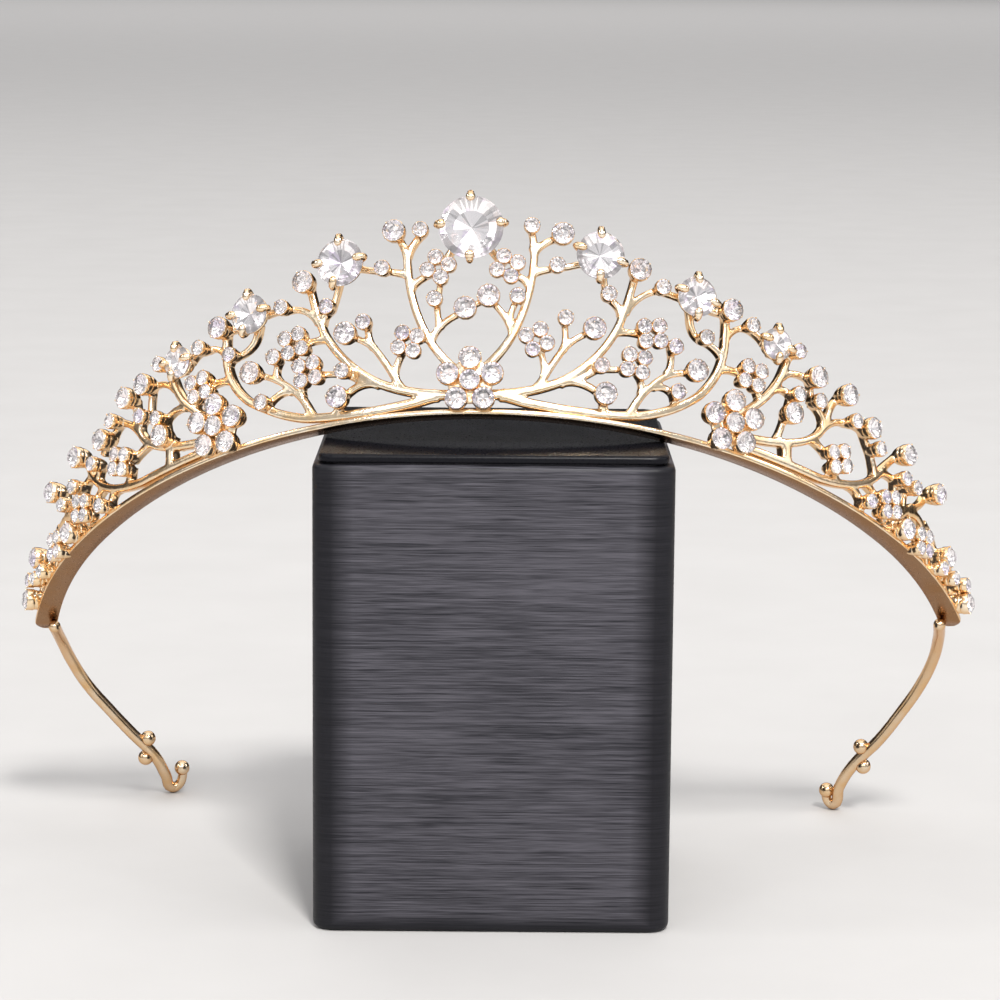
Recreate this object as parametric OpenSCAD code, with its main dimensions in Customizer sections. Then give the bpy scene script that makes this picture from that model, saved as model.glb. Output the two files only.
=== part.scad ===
// Cast metal tiara set with clear crystals, leaning on a plain square display block.
// The origin is the middle of the block's bottom face: X right, Y back, Z up.
// The tiara is drawn flat, as places along and up its wall, and bent round that wall.

/* [Display block] */
// Width and depth of the block
block_w = 55; // [50:1:60]
// Height of the block
block_h = 74.2; // [70:0.1:74.2]
// Radius of the block's upright edges
block_edge_r = 3; // [2.8:0.2:5]
// How far in from the block's side the roll round the top reaches
roll_in = 2.4; // [1.5:0.1:2.6]
// How far below the top the wrapped lid's seam runs
seam_drop = 1.8; // [1.6:0.1:5]

/* [Bend of the wall] */
// Radius of the front of the bend
front_r = 85; // [80:1:95]
// Half angle of the front arc
front_angle = 51.5; // [45:0.5:55]
// Radius of the sides of the bend
side_r = 63.5; // [55:0.5:75]
// Length along the wall from the middle to each end of the band
half_len = 101; // [100:0.5:102]
// Fall of the band for each millimetre that the wall runs back
band_fall = 0.449; // [0.4:0.005:0.5]

/* [Pose on the block] */
// Lean of the wall, top away from the viewer
lean = 20; // [15:1:25]
// Turn about the upright axis, left end back
turn_back = 4; // [0:0.5:5]
// Roll, left end down
roll = 1.4; // [0:0.1:2]
// Sideways place of the middle of the band's lower front edge
front_x = -4; // [-6:0.1:-2]
// Place from front to back of that middle
front_y = -16.4; // [-18:0.1:-15]
// Height of that middle above the table
front_z = 78.9; // [78.9:0.1:82]

/* [Band and stems] */
// Thickness of the band seen from the front
band_t = 0.95; // [0.8:0.05:1.3]
// Depth of the band, from its front edge inwards
band_depth = 3.6; // [3:0.1:4.5]
// Depth of a stem that is 1 mm wide
stem_depth = 1.7; // [1.2:0.1:2.2]
// Height of the pattern's zero line above the band's middle, where the tables' heights start
pattern_zero = -0.65; // [-0.9:0.05:0]
// How far the left wing's upper stones have settled
left_sag = 2.1; // [0:0.1:2.5]

/* [Stones] */
// Radius of a small stone
small_r = 1.2; // [1:0.05:1.3]
// Radius of a medium stone
medium_r = 1.72; // [1.5:0.02:1.76]
// Radius of one stone of a clover
clover_r = 1.14; // [1:0.02:1.14]
// Distance from a clover's middle to its stones
clover_ring = 1.7; // [1.7:0.02:1.8]
// Distance from a flower's middle to its petals
flower_ring = 3.5; // [3.45:0.05:3.6]
// Radius of a flower's middle stone
flower_r = 1.6; // [1.2:0.05:1.6]
// Height of a small cup's rim above the stems' front
cup_h = 1.6; // [1.2:0.1:2.2]
// Clearance between a stone and its cup
seat_gap = 0.12; // [0.1:0.01:0.2]

/* [Side wires] */
// Thickness of the wire that runs down to the table
wire_d = 2; // [1.6:0.1:2.4]
// Radius of the balls on the wire
ball_r = 1.35; // [1.1:0.05:1.6]
// Size of the left foot's crook
left_crook = 1; // [0.7:0.05:1.1]
// Size of the right foot's crook
right_crook = 0.7; // [0.7:0.05:1.1]

/* [Hidden] */

LEFT = -1;
RIGHT = 1;
BOTH = 0;
S = small_r;
M = medium_r;
front_place = [front_x, front_y, front_z];
front_len = front_r * front_angle * PI / 180;

// Longest piece of a stem's sweep and the most that it turns
stem_step = 10;
stem_turn = 45;
// Half of a stem's flat front, as a share of its width, and the width below which it is a ridge
stem_flat = 0.34;
ridge_below = 0.97;
// Depth that every stem has, as a share of stem_depth; the rest grows with its width
least_depth = 0.3;

// Pieces of the band's sweep, and how far its front stands before the stems'
band_steps = 30;
band_out = 0.15;

// Cups and bases: corners, depth of the root, how far a rim stands past its stone
cup_sides = 5;
cup_root = 1.5;
base_root = 0.8;
base_flare = 1.35;
cup_rim = 0.1;
// How much further out a flower's middle stone stands
flower_lift = 0.25;

// Stones, as shares of their radius: table, crown and back
table_share = 0.56;
crown_share = 0.4;
stone_back = 0.25;
brilliant_crown = 0.34;
brilliant_back = 0.5;

// Crest settings: height of the basket, its corners, half width and thickness of a claw
crest_seat = 1.0;
basket_root = 0.9;
basket_sides = 8;
claw_half = 0.4;
claw_t = 0.6;
first_claw = 8;

// How near a stem's end comes to a stone's cup or base before it is drawn on into it
catch_single = 0.5;
catch_clover = 2.7;
catch_crest = 0.8;
keep_clover = 0.8;
keep_crest = 0.36;

plate = 0.01;

// Claw-set stones of the crest: side, place along the wall, height, radius
CREST = [
    [RIGHT, 0.4, 29.5, 5.0],
    [BOTH, 19.8, 25.6, 3.75],
    [BOTH, 35.1, 20.2, 3.2],
    [BOTH, 49.0, 14.2, 2.6]
];

// Five-petalled flowers: side, place, height, turn of the first petal
FLOWERS = [
    [RIGHT, 0.3, 5.7, 90],
    [BOTH, 41.4, 0.9, 87]
];

// Four-stone clovers: side, place, height, turn
CLOVERS = [
    [RIGHT, 5.8, 23.7, 20],
    [LEFT, 4.7, 23.7, 76],
    [RIGHT, 10.3, 12.2, 70],
    [LEFT, 9.2, 12.0, 60],
    [RIGHT, 25.5, 9.0, 35],
    [LEFT, 25.2, 8.5, 35],
    [RIGHT, 28.1, 13.9, 50],
    [LEFT, 27.6, 13.9, 30],
    [BOTH, 44.8, 8.7, 30],
    [RIGHT, 61.3, -2.6, 55],
    [LEFT, 62.3, -2.2, 55],
    [BOTH, 72.8, -8.4, 50],
    [BOTH, 81.8, -13.3, 40]
];

// Single stones: side, place, height, radius
SINGLES = [
    [RIGHT, 9.5, 30.2, S],
    [LEFT, 7.5, 29.8, S],
    [RIGHT, 14.2, 29.0, M],
    [LEFT, 11.6, 29.8, M],
    [BOTH, 13.4, 24.0, S],
    [RIGHT, 7.4, 19.0, S],
    [LEFT, 5.2, 18.7, S],
    [RIGHT, 3.0, 19.0, M],
    [LEFT, 0.5, 17.1, M],
    [RIGHT, 14.7, 15.7, S],
    [LEFT, 16.2, 15.7, S],
    [BOTH, 19.1, 14.2, M],
    [RIGHT, 20.2, 8.4, S],
    [LEFT, 19.5, 8.0, S],
    [RIGHT, 20.8, 4.0, M],
    [LEFT, 20.2, 3.7, M],
    [RIGHT, 21.3, 19.8, S],
    [LEFT, 22.2, 19.2, S],
    [BOTH, 26.1, 23.9, M],
    [RIGHT, 29.8, 21.4, S],
    [LEFT, 29.8, 20.6, S],
    [RIGHT, 31.8, 12.1, S],
    [LEFT, 31.0, 12.1, S],
    [RIGHT, 32.2, 5.0, S],
    [LEFT, 33.0, 4.0, S],
    [RIGHT, 35.3, 8.6, M],
    [LEFT, 35.0, 9.8, M],
    [RIGHT, 36.9, 14.0, S],
    [LEFT, 39.0, 13.9, S],
    [BOTH, 41.2, 18.8, M],
    [RIGHT, 44.8, 16.8, S],
    [LEFT, 45.0, 16.0, S],
    [BOTH, 53.4, 13.7, S],
    [RIGHT, 53.3, 6.8, S],
    [LEFT, 53.6, 4.1, S],
    [RIGHT, 52.1, 3.6, M],
    [LEFT, 52.6, 0.9, M],
    [BOTH, 57.0, 10.0, M],
    [RIGHT, 57.4, 6.2, S],
    [LEFT, 57.4, 4.7, S],
    [RIGHT, 63.4, 8.0, M],
    [LEFT, 61.3, 8.1, M],
    [RIGHT, 65.0, 4.0, S],
    [LEFT, 64.8, 4.8, S],
    [RIGHT, 68.7, 3.4, M],
    [LEFT, 67.4, 2.1, M],
    [RIGHT, 70.4, 0.3, S],
    [LEFT, 69.8, -1.5, S],
    [RIGHT, 77.6, 0.4, M],
    [LEFT, 75.0, 0.4, M],
    [RIGHT, 68.1, -8.5, S],
    [LEFT, 67.1, -9.0, S],
    [RIGHT, 76.9, -3.6, S],
    [LEFT, 75.8, -4.4, S],
    [RIGHT, 79.8, -4.7, S],
    [LEFT, 79.4, -6.8, S],
    [RIGHT, 86.8, -4.6, M],
    [LEFT, 84.0, -4.0, M],
    [BOTH, 76.9, -12.0, M],
    [RIGHT, 90.2, -14.5, M],
    [LEFT, 91.8, -13.8, M],
    [BOTH, 88.2, -17.0, S],
    [RIGHT, 92.8, -17.6, S],
    [LEFT, 92.2, -17.2, S],
    [RIGHT, 98.8, -17.8, S],
    [LEFT, 97.4, -16.7, S],
    [RIGHT, 99.4, -20.9, M],
    [LEFT, 97.4, -20.2, M]
];

// Stems, each one bend: side, start place, start height, place and height that it
// bends towards, end place, end height, width at the start, width at the end
STEMS = [
    // Heart over the middle flower
    [BOTH, 1.6, 7.4, 5.4, 10.6, 7.0, 14.0, 1.1, 1.0],
    [BOTH, 7.0, 14.0, 9.4, 18.8, 9.8, 24.0, 1.0, 0.95],
    [BOTH, 9.8, 24.0, 10.1, 25.8, 9.9, 27.2, 0.95, 0.9],
    [RIGHT, 9.9, 27.0, 9.9, 28.2, 9.6, 29.6, 0.9, 0.8],
    [RIGHT, 9.9, 26.4, 11.2, 28.3, 13.4, 28.6, 0.9, 0.8],
    [LEFT, 9.9, 26.4, 9.2, 28.0, 8.0, 29.4, 0.9, 0.8],
    [LEFT, 9.9, 26.4, 10.8, 28.2, 11.6, 29.2, 0.9, 0.8],
    [BOTH, 9.8, 23.3, 11.8, 23.8, 13.4, 24.0, 0.9, 0.7],
    [BOTH, 13.4, 24.0, 15.6, 24.3, 18.8, 25.4, 0.7, 0.8],
    [BOTH, 9.3, 21.2, 8.4, 22.4, 6.4, 23.2, 0.9, 0.7],
    [RIGHT, 5.0, 24.6, 3.6, 26.4, 1.8, 28.4, 0.9, 0.9],
    [LEFT, 4.2, 24.8, 3.2, 26.4, 1.8, 28.4, 0.9, 0.9],
    [RIGHT, 6.7, 13.4, 6.0, 16.4, 3.4, 18.4, 0.85, 0.7],
    [RIGHT, 6.2, 14.9, 6.1, 16.8, 7.1, 18.4, 0.8, 0.7],
    [RIGHT, 2.8, 19.0, 1.2, 18.6, -0.8, 17.1, 0.7, 0.7],
    [LEFT, 6.1, 12.4, 4.6, 16.0, 1.2, 16.9, 0.85, 0.7],
    [LEFT, 4.7, 14.4, 5.0, 16.2, 5.1, 18.2, 0.8, 0.7],
    [LEFT, 5.1, 19.0, 4.6, 20.6, 4.8, 22.4, 0.7, 0.7],
    // Stem that rises from the flower to the first crest stone
    [BOTH, 0.6, 3.9, 9.0, 3.7, 14.5, 6.2, 1.2, 1.1],
    [BOTH, 14.5, 6.2, 20.4, 9.4, 23.4, 15.4, 1.1, 1.0],
    [BOTH, 23.4, 15.4, 24.8, 18.8, 25.8, 22.8, 1.0, 0.9],
    [BOTH, 24.3, 17.4, 26.4, 20.6, 29.4, 21.1, 0.9, 0.7],
    [BOTH, 30.0, 21.4, 31.8, 20.8, 34.2, 20.4, 0.7, 0.8],
    [BOTH, 23.8, 17.2, 23.4, 18.6, 21.8, 19.6, 0.9, 0.7],
    [BOTH, 21.8, 19.9, 21.0, 22.0, 20.4, 25.0, 0.7, 0.8],
    [BOTH, 22.6, 14.2, 24.6, 14.6, 26.8, 14.1, 0.9, 0.7],
    [BOTH, 10.6, 5.0, 12.6, 8.6, 14.6, 11.2, 0.95, 0.85],
    [BOTH, 14.6, 11.2, 16.0, 13.0, 18.4, 13.6, 0.85, 0.7],
    [RIGHT, 14.5, 11.0, 15.2, 12.8, 14.7, 15.0, 0.8, 0.7],
    [LEFT, 15.2, 11.8, 16.2, 13.4, 16.2, 15.2, 0.8, 0.7],
    [BOTH, 11.7, 6.9, 11.8, 8.6, 11.0, 11.4, 0.85, 0.7],
    [BOTH, 14.3, 6.0, 17.6, 6.8, 19.9, 4.6, 1.0, 0.8],
    [BOTH, 16.4, 6.4, 18.2, 7.0, 19.7, 8.0, 0.9, 0.7],
    [BOTH, 20.8, 3.4, 20.9, 2.2, 20.9, 0.8, 0.9, 1.2],
    [BOTH, 20.2, 8.4, 22.4, 8.2, 24.4, 8.4, 0.7, 0.7],
    // Lower scroll from the middle flower to the second crest stone
    [BOTH, 5.0, 3.9, 12.4, 1.2, 20.0, 0.9, 1.2, 1.1],
    [BOTH, 20.0, 0.9, 30.2, 0.5, 36.6, 5.2, 1.1, 1.1],
    [BOTH, 36.6, 5.2, 40.4, 8.6, 41.0, 13.4, 1.1, 1.0],
    [BOTH, 41.0, 13.4, 41.3, 15.8, 41.2, 18.2, 1.0, 0.9],
    [BOTH, 24.9, 1.0, 26.6, 4.6, 28.6, 6.0, 1.0, 0.9],
    [BOTH, 28.6, 6.0, 31.2, 8.8, 34.6, 8.6, 0.9, 0.7],
    [BOTH, 31.2, 8.2, 32.2, 9.6, 31.5, 11.6, 0.8, 0.7],
    [BOTH, 29.0, 6.0, 30.8, 6.4, 32.0, 5.2, 0.8, 0.7],
    [BOTH, 32.2, 4.6, 32.4, 3.6, 32.5, 2.4, 0.7, 0.9],
    [BOTH, 27.0, 4.9, 27.3, 6.6, 26.2, 7.9, 0.8, 0.7],
    [RIGHT, 40.8, 11.3, 39.2, 13.4, 37.2, 13.6, 0.85, 0.7],
    [RIGHT, 37.0, 14.0, 34.6, 14.8, 35.1, 19.2, 0.7, 0.9],
    [LEFT, 41.0, 12.2, 40.4, 13.6, 39.0, 13.9, 0.85, 0.7],
    [LEFT, 39.0, 13.9, 35.0, 15.0, 35.1, 19.2, 0.7, 0.9],
    [BOTH, 40.3, 9.7, 42.4, 9.9, 44.2, 9.4, 0.9, 0.8],
    [BOTH, 41.0, 14.4, 42.4, 16.6, 44.6, 16.5, 0.85, 0.7],
    [BOTH, 44.9, 16.7, 46.4, 16.4, 48.2, 15.0, 0.7, 0.8],
    [BOTH, 40.9, 17.6, 39.6, 18.4, 36.4, 19.8, 0.8, 0.9],
    // Branch from the side flower to the third crest stone
    [BOTH, 43.2, 2.6, 49.6, 6.0, 51.7, 10.4, 1.1, 1.0],
    [BOTH, 51.7, 10.4, 52.4, 12.2, 53.2, 13.6, 1.0, 0.8],
    [BOTH, 52.6, 12.6, 51.6, 13.2, 49.8, 13.9, 0.9, 0.9],
    [BOTH, 51.6, 9.8, 53.8, 11.2, 56.4, 10.3, 0.9, 0.7],
    [RIGHT, 50.2, 7.6, 52.2, 8.0, 53.1, 7.0, 0.85, 0.7],
    [RIGHT, 53.2, 6.6, 52.8, 5.4, 52.3, 4.0, 0.7, 0.7],
    [LEFT, 49.4, 6.3, 51.8, 6.2, 53.4, 4.4, 0.85, 0.7],
    [LEFT, 53.6, 4.0, 53.4, 2.6, 52.8, 1.4, 0.7, 0.7],
    [BOTH, 47.3, 5.4, 47.0, 6.8, 45.8, 8.2, 0.85, 0.7],
    [BOTH, 57.0, 9.8, 57.4, 8.2, 57.4, 6.6, 0.7, 0.7],
    // Upper scroll of the side flower
    [BOTH, 43.6, -0.6, 54.6, -1.8, 58.8, 1.4, 1.1, 1.0],
    [BOTH, 58.8, 1.4, 61.0, 4.2, 64.4, 4.2, 1.0, 0.8],
    [BOTH, 64.9, 4.1, 66.6, 4.0, 68.0, 3.2, 0.7, 0.7],
    [BOTH, 59.9, 2.7, 60.0, 4.8, 57.8, 5.8, 0.9, 0.7],
    [BOTH, 60.6, 3.4, 60.8, 6.0, 62.4, 7.6, 0.9, 0.8],
    [RIGHT, 49.9, -1.0, 51.0, 0.2, 51.9, 2.8, 0.9, 0.7],
    [LEFT, 49.9, -1.0, 51.2, -0.8, 52.4, 0.4, 0.9, 0.7],
    [BOTH, 57.4, 0.4, 59.2, -0.4, 60.4, -1.8, 0.9, 0.7],
    [BOTH, 52.2, -1.0, 52.3, -2.6, 52.2, -4.2, 1.3, 1.3],
    // Lower scroll of the side flower
    [BOTH, 43.4, -2.2, 52.4, -4.2, 58.8, -5.7, 1.1, 1.1],
    [BOTH, 58.8, -5.7, 68.6, -7.0, 73.0, -2.8, 1.1, 1.0],
    [BOTH, 73.0, -2.8, 74.6, -1.2, 76.2, 0.0, 1.0, 0.8],
    [BOTH, 71.6, -3.9, 71.4, -2.2, 70.5, -0.8, 0.9, 0.7],
    [BOTH, 70.1, 0.2, 69.4, 1.4, 68.7, 2.4, 0.7, 0.7],
    [BOTH, 73.0, -2.9, 74.8, -2.9, 76.4, -3.7, 0.9, 0.7],
    [RIGHT, 76.9, -3.6, 78.4, -3.8, 79.6, -4.6, 0.7, 0.7],
    [LEFT, 75.8, -4.4, 77.8, -5.0, 79.2, -6.4, 0.7, 0.7],
    [BOTH, 61.6, -3.4, 62.0, -4.6, 62.4, -5.8, 0.8, 1.0],
    [BOTH, 65.6, -6.0, 67.6, -6.8, 68.0, -8.2, 0.9, 0.7],
    [BOTH, 68.0, -9.2, 68.0, -10.4, 67.8, -11.4, 0.8, 1.0],
    [BOTH, 69.4, -5.2, 71.4, -6.2, 72.2, -7.8, 0.9, 0.7],
    [BOTH, 73.4, -9.6, 74.0, -11.4, 74.2, -13.0, 0.8, 1.0],
    // Last scroll and the end group
    [BOTH, 73.4, -12.9, 77.8, -8.6, 81.6, -7.6, 1.1, 1.0],
    [RIGHT, 81.6, -7.6, 84.8, -6.8, 86.4, -5.2, 1.0, 0.8],
    [LEFT, 81.6, -7.6, 83.4, -6.4, 84.0, -4.8, 1.0, 0.8],
    [BOTH, 79.0, -8.4, 79.2, -6.8, 79.6, -5.6, 0.9, 0.7],
    [BOTH, 78.6, -8.6, 76.4, -6.6, 76.6, -4.4, 0.9, 0.7],
    [BOTH, 76.2, -10.6, 76.6, -11.4, 77.0, -12.0, 0.9, 0.8],
    [BOTH, 77.3, -12.8, 77.8, -14.0, 78.2, -15.0, 0.9, 1.1],
    [BOTH, 80.2, -8.4, 86.6, -7.8, 86.4, -17.4, 1.1, 1.2],
    [BOTH, 82.4, -14.2, 83.2, -15.8, 84.0, -17.0, 0.8, 1.2],
    [BOTH, 85.4, -9.6, 88.6, -10.8, 89.9, -14.0, 1.0, 0.8],
    [RIGHT, 90.2, -14.8, 89.6, -16.6, 88.2, -17.2, 0.8, 0.8],
    [LEFT, 91.6, -14.2, 90.6, -16.0, 88.4, -16.8, 0.8, 0.8],
    [BOTH, 88.2, -17.1, 90.0, -18.2, 92.4, -17.6, 0.8, 0.8],
    [BOTH, 88.3, -17.6, 88.6, -18.4, 89.0, -19.2, 0.8, 1.2],
    [RIGHT, 90.6, -14.4, 96.4, -13.6, 98.6, -17.4, 0.9, 0.8],
    [LEFT, 91.8, -13.8, 95.4, -13.4, 97.2, -16.4, 0.9, 0.8],
    [BOTH, 92.4, -17.8, 93.0, -19.4, 94.0, -20.8, 0.8, 1.2],
    [RIGHT, 98.8, -17.8, 99.6, -19.2, 99.4, -20.7, 0.8, 0.9],
    [LEFT, 97.4, -16.9, 98.2, -18.4, 97.6, -20.0, 0.8, 0.9],
    [BOTH, 98.6, -20.6, 98.8, -21.8, 99.0, -23.2, 1.2, 1.6]
];

// How much lower the left wing's upper stones stand, as shares of left_sag: place, share
SAG = [[0, 0], [14, 0.1], [21, 0.4], [30, 0.9], [36, 1], [50, 1], [57, 0.2], [62, 0], [120, 0]];

// Route of a side wire on the leaning wall, from the back of the band's end to the foot:
// distance from the middle on the left and on the right, distance back, height
SIDE_WIRE = [
    [74.4, 74.4, 53.0, -24.8],
    [74.6, 74.6, 60.0, -26.2],
    [74.0, 74.0, 66.0, -28.8],
    [72.2, 72.0, 71.4, -32.4],
    [69.0, 68.8, 76.2, -36.4],
    [65.7, 65.3, 80.6, -40.2],
    [62.4, 61.0, 84.8, -43.8],
    [61.0, 58.6, 88.6, -47.0],
    [60.2, 57.7, 91.2, -49.2]
];

// Crooked foot of a side wire from the end of that route: inwards, back, up
CROOK = [
    [1.1, 0.3, 0.4],
    [1.8, 0.2, 1.9],
    [1.8, -0.1, 3.6]
];

wire_n = len(SIDE_WIRE);
foot_z = wire_d / 2 + 0.05;
crook_r = wire_d / 2 - 0.15;
// Where the pair of balls sits between two points of the route
pair_share = 0.35;

// Columns that the tables of stones and bases share
function side_of(row) = row[0];
function place_of(row) = row[1];
function height_of(row) = row[2];
function radius_of(row) = row[3];
function turn_of(row) = row[3];
// Columns of a stem
function stem_start(row) = [row[1], row[2]];
function stem_bend(row) = [row[3], row[4]];
function stem_end(row) = [row[5], row[6]];
function start_width(row) = row[7];
function end_width(row) = row[8];

// Bend of the wall: turn of the tangent, distance sideways and distance back at a place
function wall_turn(s) =
    let (
        a = abs(s),
        turn = a < front_len ? a / front_r : front_angle * PI / 180 + (a - front_len) / side_r
    )
    sign(s) * turn * 180 / PI;
function wall_x(s) =
    let (p = wall_turn(abs(s)))
    sign(s) * (p < front_angle ? front_r * sin(p) : front_r * sin(front_angle)
        + side_r * (sin(p) - sin(front_angle)));
function wall_back(s) =
    let (p = wall_turn(abs(s)))
    p < front_angle ? front_r * (1 - cos(p)) : front_r * (1 - cos(front_angle))
        + side_r * (cos(front_angle) - cos(p));
function band_height(s) = -band_fall * wall_back(s);

// Settling of the left wing: full at 20 mm above the band, none below 6 mm
function left_drop(s, h) =
    left_sag * lookup(s, SAG) * min(1, max(0, (h - band_height(s) - 6) / 14));
// What lies on the band stays on it; above it the heights count from the zero line
function above_band(s, h) = min(1, max(0, (h - band_height(s) - 1) / 2));
function side_height(side, s, h) =
    h + pattern_zero * above_band(s, h) - (side == LEFT ? left_drop(s, h) : 0);
function sides_of(side) = side == BOTH ? [LEFT, RIGHT] : [side];
// A row on the middle line is drawn once
function row_sides(row) = place_of(row) == 0 ? [RIGHT] : sides_of(side_of(row));
function row_height(side, row) = side_height(side, place_of(row), height_of(row));

// A point of the leaning wall's frame in the block's frame
function lean_point(p) = [p.x, p.y * cos(lean) + p.z * sin(lean), -p.y * sin(lean) + p.z * cos(lean)];
function roll_point(p) = [p.x * cos(roll) - p.z * sin(roll), p.y, p.x * sin(roll) + p.z * cos(roll)];
function turn_point(p) =
    [p.x * cos(turn_back) + p.y * sin(turn_back), -p.x * sin(turn_back) + p.y * cos(turn_back), p.z];
function placed(p) = front_place + turn_point(roll_point(lean_point(p)));

function bend(a, b, c, u) = (1 - u) * (1 - u) * a + 2 * u * (1 - u) * b + u * u * c;
function bend_slope(a, b, c, u) = 2 * (1 - u) * (b - a) + 2 * u * (c - b);

module tiara_place() {
    translate(front_place) rotate([0, 0, -turn_back]) rotate([0, -roll, 0]) rotate([-lean, 0, 0])
        children();
}

// Local X runs along the wall, Y up it and Z out of it
module on_wall(s, h, out = 0) {
    p = wall_turn(s);
    translate([wall_x(s) + out * sin(p), wall_back(s) - out * cos(p), h]) rotate([90, 0, p])
        children();
}

// A point in the wall's frame: place, height, then shifts along, up and out of the wall
function wall_point(s, h, along = 0, up = 0, out = 0) =
    let (p = wall_turn(s))
    [wall_x(s) + out * sin(p) + along * cos(p), wall_back(s) - out * cos(p) + along * sin(p), h + up];

// Corners of a stem's section: flat back, narrower front; a twig's front is a ridge
function section(s, h, heading, w, depth, ridge) =
    let (
        out = min(0, 0.5 * (w - 1.1)),
        front = ridge ? [[0, out]] : [[stem_flat, out], [-stem_flat, out]]
    )
    [for (c = concat([[-0.5, -depth], [0.5, -depth]], front))
        wall_point(s, h, -c[0] * w * sin(heading), c[0] * w * cos(heading), c[1])];

// Convex solid between two rings of corners
module skin(a, b) {
    n = len(a);
    start = [for (i = [n - 1:-1:0]) i];
    end = [for (i = [0:n - 1]) n + i];
    sides = [for (i = [0:n - 1]) [i, (i + 1) % n, n + (i + 1) % n, n + i]];
    hull() polyhedron(concat(a, b), concat([start, end], sides));
}

function angle_between(u, v) = acos(max(-1, min(1, u * v / (norm(u) * norm(v)))));

// What the stems carry: side, place, height, catching distance, distance kept from the middle
ANCHORS = concat(
    [for (c = SINGLES) [side_of(c), place_of(c), height_of(c), radius_of(c) + catch_single, 0]],
    [for (c = CLOVERS) [side_of(c), place_of(c), height_of(c), catch_clover, keep_clover]],
    [for (c = CREST) [side_of(c), place_of(c), height_of(c),
        catch_crest * radius_of(c), keep_crest * radius_of(c)]]
);

// An end of a stem that comes near a cup or base is drawn on into it
function reach(side, p) =
    let (near = [for (c = ANCHORS) if (c[0] != -side && norm(p - [c[1], c[2]]) < c[3]) c])
    len(near) == 0 ? p :
        let (m = [near[0][1], near[0][2]], d = p - m)
        m + near[0][4] * d / max(0.01, norm(d));

function is_twig(row) = start_width(row) < ridge_below;
function row_rings(side, row) =
    let (
        a = reach(side, stem_start(row)),
        b = stem_bend(row),
        c = reach(side, stem_end(row)),
        by_turn = ceil(angle_between(b - a, c - b) / stem_turn),
        by_length = ceil((norm(b - a) + norm(c - b)) / stem_step),
        n = max(1, by_turn, by_length)
    )
    [for (i = [0:n])
        let (
            q = bend(a, b, c, i / n),
            d = bend_slope(a, b, c, i / n),
            w = start_width(row) + (end_width(row) - start_width(row)) * i / n,
            depth = stem_depth * (least_depth + (1 - least_depth) * w)
        )
        section(side * q.x, side_height(side, q.x, q.y), atan2(d.y, side * d.x), w, depth, is_twig(row))];

// A row that starts where the row before it ends carries on from its last ring
function carries_on(k) =
    k > 0 && side_of(STEMS[k]) == side_of(STEMS[k - 1]) && stem_start(STEMS[k]) == stem_end(STEMS[k - 1])
        && is_twig(STEMS[k]) == is_twig(STEMS[k - 1]);
function stem_rings(side, k) =
    let (
        own = row_rings(side, STEMS[k]),
        last = carries_on(k) ? row_rings(side, STEMS[k - 1]) : own,
        first = carries_on(k) ? last[len(last) - 1] : own[0]
    )
    concat([first], [for (i = [1:len(own) - 1]) own[i]]);

module stem(side, k) {
    rings = stem_rings(side, k);
    for (i = [0:len(rings) - 2]) skin(rings[i], rings[i + 1]);
}

function band_heading(s) = atan2(band_height(s + 0.1) - band_height(s - 0.1), 0.2);
function band_ring(s, width = band_depth, shift = 0) =
    let (
        back = -shift - width,
        front = band_out - shift,
        heading = band_heading(s)
    )
    [for (c = [[-0.5, back], [0.5, back], [0.5, front], [-0.5, front]])
        wall_point(s, band_height(s) + band_t / 2, -c[0] * band_t * sin(heading),
            c[0] * band_t * cos(heading), c[1])];
function band_place(i) = half_len * (2 * i / band_steps - 1);

module band() {
    for (i = [0:band_steps - 1]) skin(band_ring(band_place(i)), band_ring(band_place(i + 1)));
    for (side = [LEFT, RIGHT]) band_end(side);
}

// Rounded end of the band, in two steps
module band_end(side) {
    shoulder = band_ring(side * (half_len + 0.9), band_depth - 0.8, 0.4);
    tip = band_ring(side * (half_len + 1.5), band_depth - 2.2, 1.1);
    skin(band_ring(side * half_len), shoulder);
    skin(shoulder, tip);
}

// Tapered cup under a round stone
module cup(s, h, r) {
    on_wall(s, h, -cup_root)
        cylinder(h = cup_h + cup_root, r1 = 0.5 * r, r2 = r + cup_rim, $fn = cup_sides);
}

// Stone with a square table, twelve facets round it and a shallow eight-sided back
module cut_stone(r) {
    upper = [for (a = [22.5:90:292.5]) r * [table_share * cos(a), table_share * sin(a), crown_share]];
    girdle = [for (a = [0:45:315]) r * [cos(a), sin(a), 0]];
    hull() polyhedron(concat(upper, girdle, [[0, 0, -stone_back * r]]), concat(
        [[3, 2, 1, 0]],
        [for (i = [0:3]) [i, (i + 1) % 4, 4 + (2 * i + 2) % 8]],
        [for (i = [0:3]) [i, 4 + 2 * i + 1, 4 + 2 * i]],
        [for (i = [0:3]) [i, 4 + (2 * i + 2) % 8, 4 + 2 * i + 1]],
        [for (i = [0:7]) [4 + i, 4 + (i + 1) % 8, 12]]));
}

module set_stone(s, h, r, lift = 0) {
    on_wall(s, h, cup_h + lift + seat_gap + stone_back * r) cut_stone(r);
}

// Height of a crest stone's girdle above the stems' front
function girdle_out(r) = crest_seat + 0.42 * r;

// Three corners of a claw at its inner and outer points, each given as distance from the
// stone's axis and height above the stems' front
function claw_ring(s, h, turn, inner, outer) =
    [for (c = [[inner, -claw_half], [inner, claw_half], [outer, 0]])
        wall_point(s, h, c[0][0] * cos(turn) - c[1] * sin(turn),
            c[0][0] * sin(turn) + c[1] * cos(turn), c[0][1])];

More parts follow.
